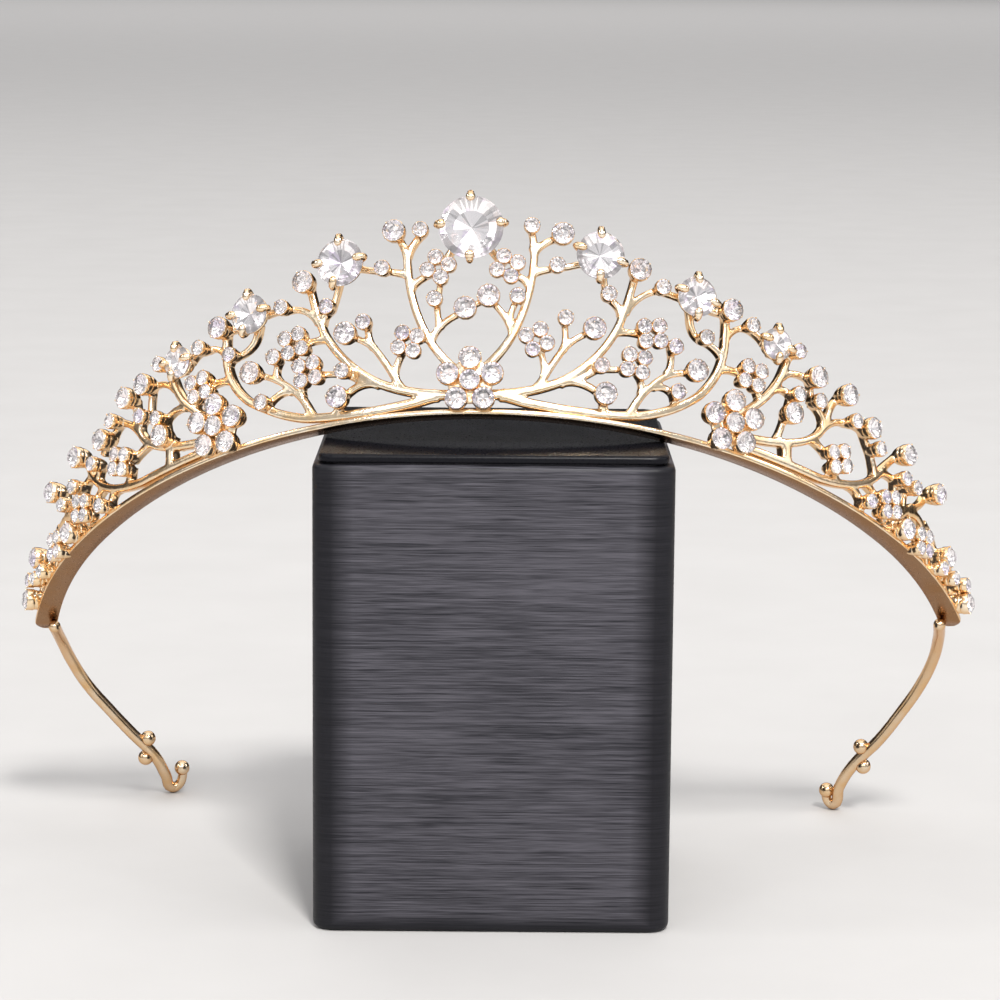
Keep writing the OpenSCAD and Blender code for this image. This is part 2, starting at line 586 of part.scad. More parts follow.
// One claw, from the basket's foot past the girdle and over the stone's edge
module claw(s, h, r, turn) {
    g = girdle_out(r);
    over = g + 0.2 * r;
    foot = claw_ring(s, h, turn, [0.4 * r, -0.4], [0.4 * r + 1.5 * claw_t, -0.6]);
    knee = claw_ring(s, h, turn, [r + 0.2, g + 0.05], [r + 0.2 + claw_t, g - 0.1]);
    tip = claw_ring(s, h, turn, [0.84 * r, over + 0.15], [0.9 * r, over + claw_t]);
    skin(foot, knee);
    skin(knee, tip);
}

// Open basket and four claws of a crest stone
module claw_setting(s, h, r) {
    difference() {
        on_wall(s, h, -basket_root)
            cylinder(h = basket_root + crest_seat, r1 = 0.45 * r, r2 = 0.72 * r, $fn = basket_sides);
        on_wall(s, h, -basket_root - 0.5)
            cylinder(h = basket_root + crest_seat + 1.5, r1 = 0.1 * r, r2 = 0.88 * r, $fn = basket_sides);
    }
    for (i = [0:3]) claw(s, h, r, first_claw + 90 * i);
}

module crest_stone(side, k) {
    row = CREST[k];
    r = radius_of(row);
    on_wall(side * place_of(row), row_height(side, row), girdle_out(r)) brilliant(r);
}

// Round stone: table, main and girdle facets, pointed back
module brilliant(r) {
    table = [for (a = [22.5:45:337.5]) r * [table_share * cos(a), table_share * sin(a), brilliant_crown]];
    girdle = [for (a = [0:22.5:337.5]) r * [cos(a), sin(a), 0]];
    hull() polyhedron(concat(table, girdle, [[0, 0, -brilliant_back * r]]), concat(
        [[for (i = [7:-1:0]) i]],
        [for (i = [0:7]) [i, 8 + (2 * i + 2) % 16, 8 + 2 * i + 1]],
        [for (i = [0:7]) [i, 8 + 2 * i + 1, 8 + 2 * i]],
        [for (i = [0:7]) [i, (i + 1) % 8, 8 + (2 * i + 2) % 16]],
        [for (i = [0:15]) [8 + i, 8 + (i + 1) % 16, 24]]));
}

// Places of the stones round the middle of a flower or a clover
function ring_places(side, row, count, ring) =
    [for (i = [0:count - 1])
        let (a = turn_of(row) + i * 360 / count)
        [place_of(row) + ring * cos(a), row_height(side, row) + ring * sin(a)]];

// Tapered base whose outline has one lobe for each stone round the middle
module lobed_base(side, row, lobes, lobe_out, notch_out) {
    corners = [[0, lobe_out], [180 / lobes, notch_out]];
    outline = [for (i = [0:lobes - 1], c = corners)
        let (a = turn_of(row) + i * 360 / lobes + c[0])
        [c[1] * cos(a), c[1] * sin(a)]];
    on_wall(side * place_of(row), row_height(side, row), -base_root)
        linear_extrude(height = cup_h + base_root, scale = base_flare) polygon(outline / base_flare);
}

module flower_base(side, row) {
    lobed_base(side, row, 5, flower_ring + 0.9 * medium_r, flower_ring);
}

module flower_stones(side, row) {
    for (p = ring_places(side, row, 5, flower_ring)) set_stone(side * p.x, p.y, medium_r);
    set_stone(side * place_of(row), row_height(side, row), flower_r, flower_lift);
}

module clover_base(side, row) {
    lobed_base(side, row, 4, clover_ring + clover_r, 1.1 * clover_ring);
}

module clover_stones(side) {
    for (row = CLOVERS)
        if (side_of(row) != -side)
            for (p = ring_places(side, row, 4, clover_ring)) set_stone(side * p.x, p.y, clover_r);
}

module rhinestones(side) {
    for (row = SINGLES)
        if (side_of(row) != -side)
            set_stone(side * place_of(row), row_height(side, row), radius_of(row));
}

// Side wire down to the table: the route, set down evenly onto the table, then the crook
function wire_row(side, i) =
    let (row = SIDE_WIRE[i])
    [side * (side == LEFT ? row[0] : row[1]), row[2], row[3]];
function wire_lift(side) = foot_z - placed(wire_row(side, wire_n - 1)).z;
function wire_point(side, i) =
    placed(wire_row(side, i)) + [0, 0, wire_lift(side) * pow(i / (wire_n - 1), 2)];
function wire_path(side) =
    let (size = side == LEFT ? left_crook : right_crook)
    concat(
        [for (i = [0:wire_n - 1]) wire_point(side, i)],
        [for (c = CROOK) wire_point(side, wire_n - 1) + size * [-side * c.x, c.y, c.z]]
    );

function unit(v) = v / norm(v);
function wire_ring(p, d, r) =
    let (
        across = unit(cross(d, [0, 0, 1])),
        up = unit(cross(across, d))
    )
    [for (a = [0:60:300]) p + r * (across * cos(a) + up * sin(a))];

module ball(p) {
    translate(p) sphere(r = ball_r, $fn = 8);
}

module side_wire(side) {
    path = wire_path(side);
    last = len(path) - 1;
    rings = [for (k = [0:last])
        wire_ring(path[k], path[min(last, k + 1)] - path[max(0, k - 1)], k < wire_n ? wire_d / 2 : crook_r)];
    for (k = [0:last - 1]) skin(rings[k], rings[k + 1]);
    ball(path[last]);
    // Pair of balls on either side of the wire
    pair = pair_share * path[wire_n - 4] + (1 - pair_share) * path[wire_n - 3];
    for (e = [-1, 1]) ball(pair + e * [-0.3 * side, -0.6, 1.9]);
}

// Four rounded corners at a height
module block_layer(z, inset) {
    at = block_w / 2 - block_edge_r;
    for (x = [-at, at])
        for (y = [-at, at])
            translate([x, y, z]) cylinder(h = plate, r = block_edge_r - inset, $fn = 12);
}

// Wrapped block: a plain body, a fine seam and a thin lid with a rolled edge
module display_block() {
    seam_z = block_h - seam_drop;
    color("dimgray") union() {
        hull() {
            block_layer(0, 0.7);
            block_layer(0.7, 0);
            block_layer(seam_z - 0.2, 0);
        }
        hull() {
            block_layer(seam_z - 0.5, 0.35);
            block_layer(seam_z + 0.5, 0.35);
        }
        hull() {
            block_layer(seam_z + 0.15, 0);
            block_layer(block_h - 0.45 * seam_drop, 0.25 * roll_in);
            block_layer(block_h - plate, roll_in);
        }
    }
}

module tiara_frame() {
    color("goldenrod") union() {
        tiara_place() {
            band();
            for (k = [0:len(STEMS) - 1])
                for (side = sides_of(side_of(STEMS[k]))) stem(side, k);
            for (row = SINGLES)
                for (side = row_sides(row))
                    cup(side * place_of(row), row_height(side, row), radius_of(row));
            for (row = CLOVERS)
                for (side = row_sides(row)) clover_base(side, row);
            for (row = FLOWERS)
                for (side = row_sides(row)) flower_base(side, row);
            for (row = CREST)
                for (side = row_sides(row))
                    claw_setting(side * place_of(row), row_height(side, row), radius_of(row));
        }
        for (side = [LEFT, RIGHT]) side_wire(side);
    }
}

module crest_stone_middle() { color("aliceblue") tiara_place() crest_stone(RIGHT, 0); }
module crest_stone_left_1() { color("aliceblue") tiara_place() crest_stone(LEFT, 1); }
module crest_stone_left_2() { color("aliceblue") tiara_place() crest_stone(LEFT, 2); }
module crest_stone_left_3() { color("aliceblue") tiara_place() crest_stone(LEFT, 3); }
module crest_stone_right_1() { color("aliceblue") tiara_place() crest_stone(RIGHT, 1); }
module crest_stone_right_2() { color("aliceblue") tiara_place() crest_stone(RIGHT, 2); }
module crest_stone_right_3() { color("aliceblue") tiara_place() crest_stone(RIGHT, 3); }
module flower_stones_middle() { color("aliceblue") tiara_place() flower_stones(RIGHT, FLOWERS[0]); }
module flower_stones_left() { color("aliceblue") tiara_place() flower_stones(LEFT, FLOWERS[1]); }
module flower_stones_right() { color("aliceblue") tiara_place() flower_stones(RIGHT, FLOWERS[1]); }
module clover_stones_left() { color("aliceblue") tiara_place() clover_stones(LEFT); }
module clover_stones_right() { color("aliceblue") tiara_place() clover_stones(RIGHT); }
module rhinestones_left() { color("aliceblue") tiara_place() rhinestones(LEFT); }
module rhinestones_right() { color("aliceblue") tiara_place() rhinestones(RIGHT); }

display_block();
tiara_frame();
crest_stone_middle();
crest_stone_left_1();
crest_stone_left_2();
crest_stone_left_3();
crest_stone_right_1();
crest_stone_right_2();
crest_stone_right_3();
flower_stones_middle();
flower_stones_left();
flower_stones_right();
clover_stones_left();
clover_stones_right();
rhinestones_left();
rhinestones_right();
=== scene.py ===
import random
from math import atan2, ceil, cos, exp, hypot, pi, radians, sin

import bmesh
import bpy
from mathutils import Matrix, Vector


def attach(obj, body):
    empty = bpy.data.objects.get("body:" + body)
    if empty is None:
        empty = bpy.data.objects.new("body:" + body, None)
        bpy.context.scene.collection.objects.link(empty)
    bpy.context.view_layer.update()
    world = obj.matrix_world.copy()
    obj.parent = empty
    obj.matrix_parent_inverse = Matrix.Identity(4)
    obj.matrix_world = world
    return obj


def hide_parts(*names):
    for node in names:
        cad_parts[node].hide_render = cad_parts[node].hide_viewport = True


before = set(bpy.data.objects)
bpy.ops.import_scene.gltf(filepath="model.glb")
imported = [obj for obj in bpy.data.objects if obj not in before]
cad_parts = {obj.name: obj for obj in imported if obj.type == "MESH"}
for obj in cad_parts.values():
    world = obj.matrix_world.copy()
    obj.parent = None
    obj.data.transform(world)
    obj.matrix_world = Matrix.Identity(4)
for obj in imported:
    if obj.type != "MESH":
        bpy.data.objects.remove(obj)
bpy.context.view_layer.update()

left, both, right = -1, 0, 1
print("frame loaded")

# the tiara is drawn flat in millimetres: x along its wall, y up it, z out of it
wall = {
    "frontRadius": 85.0, "frontAngle": 51.5, "sideRadius": 63.5,  # plan of the bend
    "fall": 0.449,                       # drop of the band per mm it runs back
    "lean": 20.0, "turnBack": 4.0, "roll": 1.4, "place": (-4.0, -16.4, 78.9),  # pose on the block
    "zero": -0.65, "zeroFade": (1, 3),   # shift of all heights, growing with the height over the band
    "leftSag": 2.1, "sagFade": (6, 20),  # how far the left wing has settled, growing in the same way
}


def wallTurn(s):
    a, frontLength = abs(s), wall["frontRadius"] * radians(wall["frontAngle"])
    turn = a / wall["frontRadius"] if a < frontLength else (
        radians(wall["frontAngle"]) + (a - frontLength) / wall["sideRadius"])
    return turn if s > 0 else -turn


def wallX(s):
    p, q = abs(wallTurn(s)), radians(wall["frontAngle"])
    x = wall["frontRadius"] * sin(p) if p < q else (
        wall["frontRadius"] * sin(q) + wall["sideRadius"] * (sin(p) - sin(q)))
    return x if s > 0 else -x


def wallBack(s):
    p, q = abs(wallTurn(s)), radians(wall["frontAngle"])
    return wall["frontRadius"] * (1 - cos(p)) if p < q else (
        wall["frontRadius"] * (1 - cos(q)) + wall["sideRadius"] * (cos(q) - cos(p)))


def bandHeight(s):
    return -wall["fall"] * wallBack(s)


def fade(value, low, high):  # 0 up to low, 1 from high on
    return min(1, max(0, (value - low) / (high - low)))


# shares of the settling by place along the left wing
sagShares = [(0, 0), (14, 0.1), (21, 0.4), (30, 0.9), (36, 1), (50, 1), (57, 0.2), (62, 0), (120, 0)]


def sideHeight(side, s, h):
    above = h - bandHeight(s)
    placed = h + wall["zero"] * fade(above, *wall["zeroFade"])
    if side != left:
        return placed
    for (a, u), (b, v) in zip(sagShares, sagShares[1:]):
        if a <= s <= b:
            share = u + (v - u) * (s - a) / (b - a)
    return placed - wall["leftSag"] * share * fade(above, *wall["sagFade"])


pose = (Matrix.Translation(wall["place"]) @ Matrix.Rotation(radians(-wall["turnBack"]), 4, "Z")
        @ Matrix.Rotation(radians(-wall["roll"]), 4, "Y") @ Matrix.Rotation(radians(-wall["lean"]), 4, "X"))


def seat(s, h, out=0):  # place on the wall, with local z out of it
    p = wallTurn(s)
    spot = Matrix.Translation((wallX(s) + out * sin(p), wallBack(s) - out * cos(p), h))
    return pose @ spot @ Matrix.Rotation(p, 4, "Z") @ Matrix.Rotation(pi / 2, 4, "X")


def bendRound(bm):  # takes a flat drawing round the wall
    for v in bm.verts:
        s, h, out = v.co
        p = wallTurn(s)
        v.co = pose @ Vector((wallX(s) + out * sin(p), wallBack(s) - out * cos(p), h))


def sidesOf(side):
    return [left, right] if side == both else [side]


# mesh helpers
def addTo(target, part):  # adds a bmesh to another one and frees it
    mesh = bpy.data.meshes.new("part")
    part.to_mesh(mesh)
    part.free()
    target.from_mesh(mesh)
    bpy.data.meshes.remove(mesh)


def finish(bm, name, materials, node, smooth=True, angle=None):
    bmesh.ops.scale(bm, vec=(0.001, 0.001, 0.001), verts=bm.verts)  # to metres
    mesh = bpy.data.meshes.new(name)
    bm.to_mesh(mesh)
    bm.free()
    mesh.validate()
    for material in materials:
        mesh.materials.append(material)
    mesh.polygons.foreach_set("use_smooth", [smooth] * len(mesh.polygons))
    if angle:
        mesh.set_sharp_from_angle(angle=radians(angle))
    piece = bpy.data.objects.new(name, mesh)
    bpy.context.scene.collection.objects.link(piece)
    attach(piece, "root")
    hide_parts(node)
    print(name, len(mesh.vertices), "vertices")


def sweep(rings, profile):
    # pushes a closed outline, given in local y and z, through a row of matrices
    bm = bmesh.new()
    verts = bmesh.ops.create_circle(bm, segments=len(profile), radius=1)["verts"]
    for v, (y, z) in zip(verts, profile):
        v.co = (0, y, z)
    edges = bm.edges[:]
    bmesh.ops.contextual_create(bm, geom=edges)
    bmesh.ops.transform(bm, matrix=rings[0], verts=verts)
    for last, ring in zip(rings, rings[1:]):
        made = bmesh.ops.extrude_edge_only(bm, edges=edges)["geom"]
        verts = [g for g in made if isinstance(g, bmesh.types.BMVert)]
        edges = [g for g in made if isinstance(g, bmesh.types.BMEdge)]
        bmesh.ops.transform(bm, matrix=ring @ last.inverted(), verts=verts)
    bmesh.ops.contextual_create(bm, geom=edges)
    bmesh.ops.recalc_face_normals(bm, faces=bm.faces)
    return bm


def lathe(profile, steps, matrix):
    # spins an outline of (radius, z) round z and puts it in place
    bm = bmesh.new()
    verts = [bm.verts.new((r, 0, z)) for r, z in profile]
    for a, b in zip(verts, verts[1:]):
        bm.edges.new((a, b))
    bmesh.ops.spin(bm, geom=bm.verts[:] + bm.edges[:], cent=(0, 0, 0), axis=(0, 0, 1), angle=2 * pi,
                   steps=steps, use_merge=True)
    bmesh.ops.remove_doubles(bm, verts=bm.verts, dist=0.001)
    bmesh.ops.recalc_face_normals(bm, faces=bm.faces)
    bmesh.ops.transform(bm, matrix=matrix, verts=bm.verts)
    return bm


def castTogether(bm, voxel, rounds, share):
    # melts overlapping shapes into one skin with soft inner corners
    mesh = bpy.data.meshes.new("cast")
    bm.to_mesh(mesh)
    bm.free()
    holder = bpy.data.objects.new("cast", mesh)
    bpy.context.scene.collection.objects.link(holder)
    melt = holder.modifiers.new("melt", "REMESH")
    melt.mode, melt.voxel_size = "VOXEL", voxel
    soften = holder.modifiers.new("soften", "SMOOTH")
    soften.factor, soften.iterations = 0.5, rounds
    thin = holder.modifiers.new("thin", "DECIMATE")
    thin.ratio = share
    result = bpy.data.meshes.new_from_object(holder.evaluated_get(bpy.context.evaluated_depsgraph_get()))
    work = bmesh.new()
    work.from_mesh(result)
    bpy.data.objects.remove(holder)
    bpy.data.meshes.remove(mesh)
    bpy.data.meshes.remove(result)
    print("cast skin:", len(work.faces), "faces")
    return work


def bead(radius, matrix, u, v):
    bm = bmesh.new()
    bmesh.ops.create_uvsphere(bm, u_segments=u, v_segments=v, radius=radius, matrix=matrix)
    return bm


# the stones: side, place along the wall, height, and radius
# flowers and clovers have the turn of their first stone instead, in degrees
small, medium = 1.2, 1.72
crestStones = [
    (right, 0.4, 29.5, 5.0),
    (both, 19.8, 25.6, 3.75),
    (both, 35.1, 20.2, 3.2),
    (both, 49.0, 14.2, 2.6),
]
flowers = [
    (right, 0.3, 5.7, 90),
    (both, 41.4, 0.9, 87),
]
clovers = [
    (right, 5.8, 23.7, 20),
    (left, 4.7, 23.7, 76),
    (right, 10.3, 12.2, 70),
    (left, 9.2, 12.0, 60),
    (right, 25.5, 9.0, 35),
    (left, 25.2, 8.5, 35),
    (right, 28.1, 13.9, 50),
    (left, 27.6, 13.9, 30),
    (both, 44.8, 8.7, 30),
    (right, 61.3, -2.6, 55),
    (left, 62.3, -2.2, 55),
    (both, 72.8, -8.4, 50),
    (both, 81.8, -13.3, 40),
]
singles = [
    (right, 9.5, 30.2, small),
    (left, 7.5, 29.8, small),
    (right, 14.2, 29.0, medium),
    (left, 11.6, 29.8, medium),
    (both, 13.4, 24.0, small),
    (right, 7.4, 19.0, small),
    (left, 5.2, 18.7, small),
    (right, 3.0, 19.0, medium),
    (left, 0.5, 17.1, medium),
    (right, 14.7, 15.7, small),
    (left, 16.2, 15.7, small),
    (both, 19.1, 14.2, medium),
    (right, 20.2, 8.4, small),
    (left, 19.5, 8.0, small),
    (right, 20.8, 4.0, medium),
    (left, 20.2, 3.7, medium),
    (right, 21.3, 19.8, small),
    (left, 22.2, 19.2, small),
    (both, 26.1, 23.9, medium),
    (right, 29.8, 21.4, small),
    (left, 29.8, 20.6, small),
    (right, 31.8, 12.1, small),
    (left, 31.0, 12.1, small),
    (right, 32.2, 5.0, small),
    (left, 33.0, 4.0, small),
    (right, 35.3, 8.6, medium),
    (left, 35.0, 9.8, medium),
    (right, 36.9, 14.0, small),
    (left, 39.0, 13.9, small),
    (both, 41.2, 18.8, medium),
    (right, 44.8, 16.8, small),
    (left, 45.0, 16.0, small),
    (both, 53.4, 13.7, small),
    (right, 53.3, 6.8, small),
    (left, 53.6, 4.1, small),
    (right, 52.1, 3.6, medium),
    (left, 52.6, 0.9, medium),
    (both, 57.0, 10.0, medium),
    (right, 57.4, 6.2, small),
    (left, 57.4, 4.7, small),
    (right, 63.4, 8.0, medium),
    (left, 61.3, 8.1, medium),
    (right, 65.0, 4.0, small),
    (left, 64.8, 4.8, small),
    (right, 68.7, 3.4, medium),
    (left, 67.4, 2.1, medium),
    (right, 70.4, 0.3, small),
    (left, 69.8, -1.5, small),
    (right, 77.6, 0.4, medium),
    (left, 75.0, 0.4, medium),
    (right, 68.1, -8.5, small),
    (left, 67.1, -9.0, small),
    (right, 76.9, -3.6, small),
    (left, 75.8, -4.4, small),
    (right, 79.8, -4.7, small),
    (left, 79.4, -6.8, small),
    (right, 86.8, -4.6, medium),
    (left, 84.0, -4.0, medium),
    (both, 76.9, -12.0, medium),
    (right, 90.2, -14.5, medium),
    (left, 91.8, -13.8, medium),
    (both, 88.2, -17.0, small),
    (right, 92.8, -17.6, small),
    (left, 92.2, -17.2, small),
    (right, 98.8, -17.8, small),
    (left, 97.4, -16.7, small),
    (right, 99.4, -20.9, medium),
    (left, 97.4, -20.2, medium),
]
setting = {
    "petals": 5, "flowerRing": 3.5, "flowerMiddle": 1.6, "middleLift": 0.25,
    "leaves": 4, "cloverRing": 1.66, "cloverStone": 1.17,
    "cupHeight": 1.6, "seatGap": 0.12, "stoneBack": 0.25,
    "crestSeat": 1.0, "crestBack": 0.42,
}


def girdle(r, lift):  # how far out of the wall a small stone's widest line lies
    return setting["cupHeight"] + lift + setting["seatGap"] + setting["stoneBack"] * r


def crestGirdle(r):
    return setting["crestSeat"] + setting["crestBack"] * r


def ringPlaces(side, row, count, ring):
    for i in range(count):
        a = radians(row[3] + 360 / count * i)
        yield side * (row[1] + ring * cos(a)), sideHeight(side, row[1], row[2]) + ring * sin(a)


# every small stone by node: place, height, radius, lift
sideWords = {left: "left", right: "right"}
smallStones = {}
for side, word in sideWords.items():
    smallStones["rhinestones_" + word] = [
        (side * s, sideHeight(side, s, h), r, 0) for k, s, h, r in singles if k != -side]
    smallStones["clover_stones_" + word] = [
        (s, h, setting["cloverStone"], 0) for row in clovers if row[0] != -side
        for s, h in ringPlaces(side, row, setting["leaves"], setting["cloverRing"])]
for side, word, k in ((right, "middle", 0), (left, "left", 1), (right, "right", 1)):
    row = flowers[k]
    petals = [(s, h, medium, 0) for s, h in ringPlaces(side, row, setting["petals"], setting["flowerRing"])]
    middle = (side * row[1], sideHeight(side, row[1], row[2]), setting["flowerMiddle"], setting["middleLift"])
    smallStones["flower_stones_" + word] = petals + [middle]
# the crest stones by node: place, height, radius
bigStones = {}
for k, (kind, s, h, r) in enumerate(crestStones):
    for side in sidesOf(kind):
        name = "crest_stone_%s_%d" % (sideWords[side], k) if k else "crest_stone_middle"
        bigStones[name] = (side * s, sideHeight(side, s, h), r)
print("stones placed:", sum(len(v) for v in smallStones.values()), "small,", len(bigStones), "large")

# materials: a size is a number of noise cells per metre along x, y and z
def newMaterial(name, **sockets):
    material = bpy.data.materials.new(name)
    material.use_nodes = True
    nodes, links = material.node_tree.nodes, material.node_tree.links
    shader = nodes["Principled BSDF"]
    for socket, value in sockets.items():
        shader.inputs[socket].default_value = value
    return material, nodes, links, shader


def objectNoise(nodes, links, size, detail=3.0, rough=0.55):
    place = nodes.new("ShaderNodeTexCoord")
    turn = nodes.new("ShaderNodeMapping")
    turn.inputs["Scale"].default_value = size
    noise = nodes.new("ShaderNodeTexNoise")
    noise.inputs["Scale"].default_value = 1.0
    noise.inputs["Detail"].default_value = detail
    noise.inputs["Roughness"].default_value = rough
    links.new(place.outputs["Object"], turn.inputs["Vector"])
    links.new(turn.outputs["Vector"], noise.inputs["Vector"])
    return noise.outputs["Fac"]


def ramp(nodes, links, source, stops):
    node = nodes.new("ShaderNodeValToRGB")
    while len(node.color_ramp.elements) < len(stops):
        node.color_ramp.elements.new(0.5)
    for element, (place, colour) in zip(node.color_ramp.elements, stops):
        element.position = place
        element.color = (*colour, 1)
    links.new(source, node.inputs["Fac"])
    return node.outputs["Color"]


def remap(nodes, links, source, low, high, fromLow=0.3, fromHigh=0.7):  # the noise's usual range
    node = nodes.new("ShaderNodeMapRange")
    for socket, value in (("From Min", fromLow), ("From Max", fromHigh), ("To Min", low), ("To Max", high)):
        node.inputs[socket].default_value = value
    links.new(source, node.inputs["Value"])
    return node.outputs["Result"]


def addBump(nodes, links, shader, source, strength, distance, under=None):
    node = nodes.new("ShaderNodeBump")
    node.inputs["Strength"].default_value = strength
    node.inputs["Distance"].default_value = distance
    links.new(source, node.inputs["Height"])
    if under:
        links.new(under.outputs["Normal"], node.inputs["Normal"])
    links.new(node.outputs["Normal"], shader.inputs["Normal"])
    return node


def mixColours(nodes, links, shader, share, first, second):  # from a socket's colour to a plain one
    node = nodes.new("ShaderNodeMix")
    node.data_type = "RGBA"
    links.new(share, node.inputs["Factor"])
    links.new(first, node.inputs[6])
    node.inputs[7].default_value = (*second, 1)
    links.new(node.outputs[2], shader.inputs["Base Color"])


goldLook = {
    "bright": (1.0, 0.87, 0.68), "deep": (0.97, 0.71, 0.41), "toneStops": (0.3, 0.62),
    "edge": (0.77, 0.43, 0.15), "turnedShadeFade": (0.1, 0.8),  # painted shade: darker, browner colour where the surface turns away from the view
    "patchSize": (260, 260, 260), "grainSize": (1900, 1900, 1900),
    # roughness from polished to brushed, height of the grain in metres, and a tint that darkens the colour as
    # painted shade (plain for the cast gold)
    "cast": ((0.11, 0.24), 0.00003, (1, 1, 1)),
    "under": ((0.24, 0.28), 0.0, (0.34, 0.26, 0.21)),  # dull underside of the band, darkened by its tint as painted shade
    # the side wires' tint darkens them as painted shade
    "wire": ((0.14, 0.26), 0.000006, (0.80, 0.74, 0.68)),
}


def makeGold(name, polish, bump, tint):
    material, nodes, links, shader = newMaterial(name, Metallic=1.0, Roughness=0.16)
    broad = objectNoise(nodes, links, goldLook["patchSize"])
    fine = objectNoise(nodes, links, goldLook["grainSize"], 2.0)
    # the tint darkens all three tones: painted shade on the band's underside and the side wires
    deep, bright, edge = (
        [a * b for a, b in zip(goldLook[word], tint)] for word in ("deep", "bright", "edge"))
    tone = ramp(nodes, links, broad, list(zip(goldLook["toneStops"], (deep, bright))))
    # painted shade: towards the outline the colour goes over to the dark edge tone
    turned = nodes.new("ShaderNodeLayerWeight")
    turned.inputs["Blend"].default_value = 0.5
    turnedShadeShare = remap(nodes, links, turned.outputs["Facing"], 0.0, 1.0, *goldLook["turnedShadeFade"])
    mixColours(nodes, links, shader, turnedShadeShare, tone, edge)
    links.new(remap(nodes, links, fine, *polish), shader.inputs["Roughness"])
    cast = addBump(nodes, links, shader, broad, 0.5, bump * 4)
    addBump(nodes, links, shader, fine, 0.5, bump, cast)
    return material


castGold = makeGold("castGold", *goldLook["cast"])
paintedShadeGold = makeGold("paintedShadeGold", *goldLook["under"])
wireGold = makeGold("wireGold", *goldLook["wire"])

crystalLook = {
    "glass": (1.0, 0.99, 0.99), "cloudSize": (900, 900, 900),
    "bend": 1.55, "blur": 0.03, "crestBend": 1.4, "crestBlur": 0.02,
    "lilac": (0.80, 0.72, 0.86), "white": (0.99, 0.96, 0.965), "rose": (1.0, 0.88, 0.86),
    "tints": [(0.34, "lilac"), (0.42, "white"), (0.58, "white"), (0.68, "rose")],
    "tintSize": (480, 480, 480), "foilPolish": (0.03, 0.12),
    # brightness of the foil behind three kinds of facet (the darker foils paint dark reflections into the
    # sparkle), and painted glow: how much the foil shines by itself though it is no lamp
    "foils": [1.0, 0.86, 0.5], "paintedGlow": 0.1, "crestFoils": [1.0, 0.86, 0.48], "crestPaintedGlow": 0.18,
}


def makeGlass(name, bend, blur):
    material, nodes, links, shader = newMaterial(name, Roughness=0.0, IOR=bend)
    shader.inputs["Base Color"].default_value = (*crystalLook["glass"], 1)
    shader.inputs["Transmission Weight"].default_value = 1.0
    cloud = objectNoise(nodes, links, crystalLook["cloudSize"])
    links.new(remap(nodes, links, cloud, 0.0, blur), shader.inputs["Roughness"])
    return material


def makeFoils(name, shares, paintedGlow):
    made = []
    for k, share in enumerate(shares):
        material, nodes, links, shader = newMaterial("%s_%d" % (name, k + 1), Metallic=1.0, Roughness=0.05)
        tint = objectNoise(nodes, links, crystalLook["tintSize"], 2.0)
        # each foil is darkened by its share: painted dark reflections for the sparkle
        stops = [(at, [share * c for c in crystalLook[word]]) for at, word in crystalLook["tints"]]
        links.new(ramp(nodes, links, tint, stops), shader.inputs["Base Color"])
        links.new(remap(nodes, links, tint, *crystalLook["foilPolish"]), shader.inputs["Roughness"])
        # painted glow: the foil gives off light though it is no lamp
        shader.inputs["Emission Color"].default_value = (*crystalLook["white"], 1)
        shader.inputs["Emission Strength"].default_value = paintedGlow
        made.append(material)
    return made


crystal = makeGlass("crystal", crystalLook["bend"], crystalLook["blur"])
crestCrystal = makeGlass("crestCrystal", crystalLook["crestBend"], crystalLook["crestBlur"])
foils = makeFoils("foil", crystalLook["foils"], crystalLook["paintedGlow"])
crestFoils = makeFoils("crestFoil", crystalLook["crestFoils"], crystalLook["crestPaintedGlow"])
print("materials made")

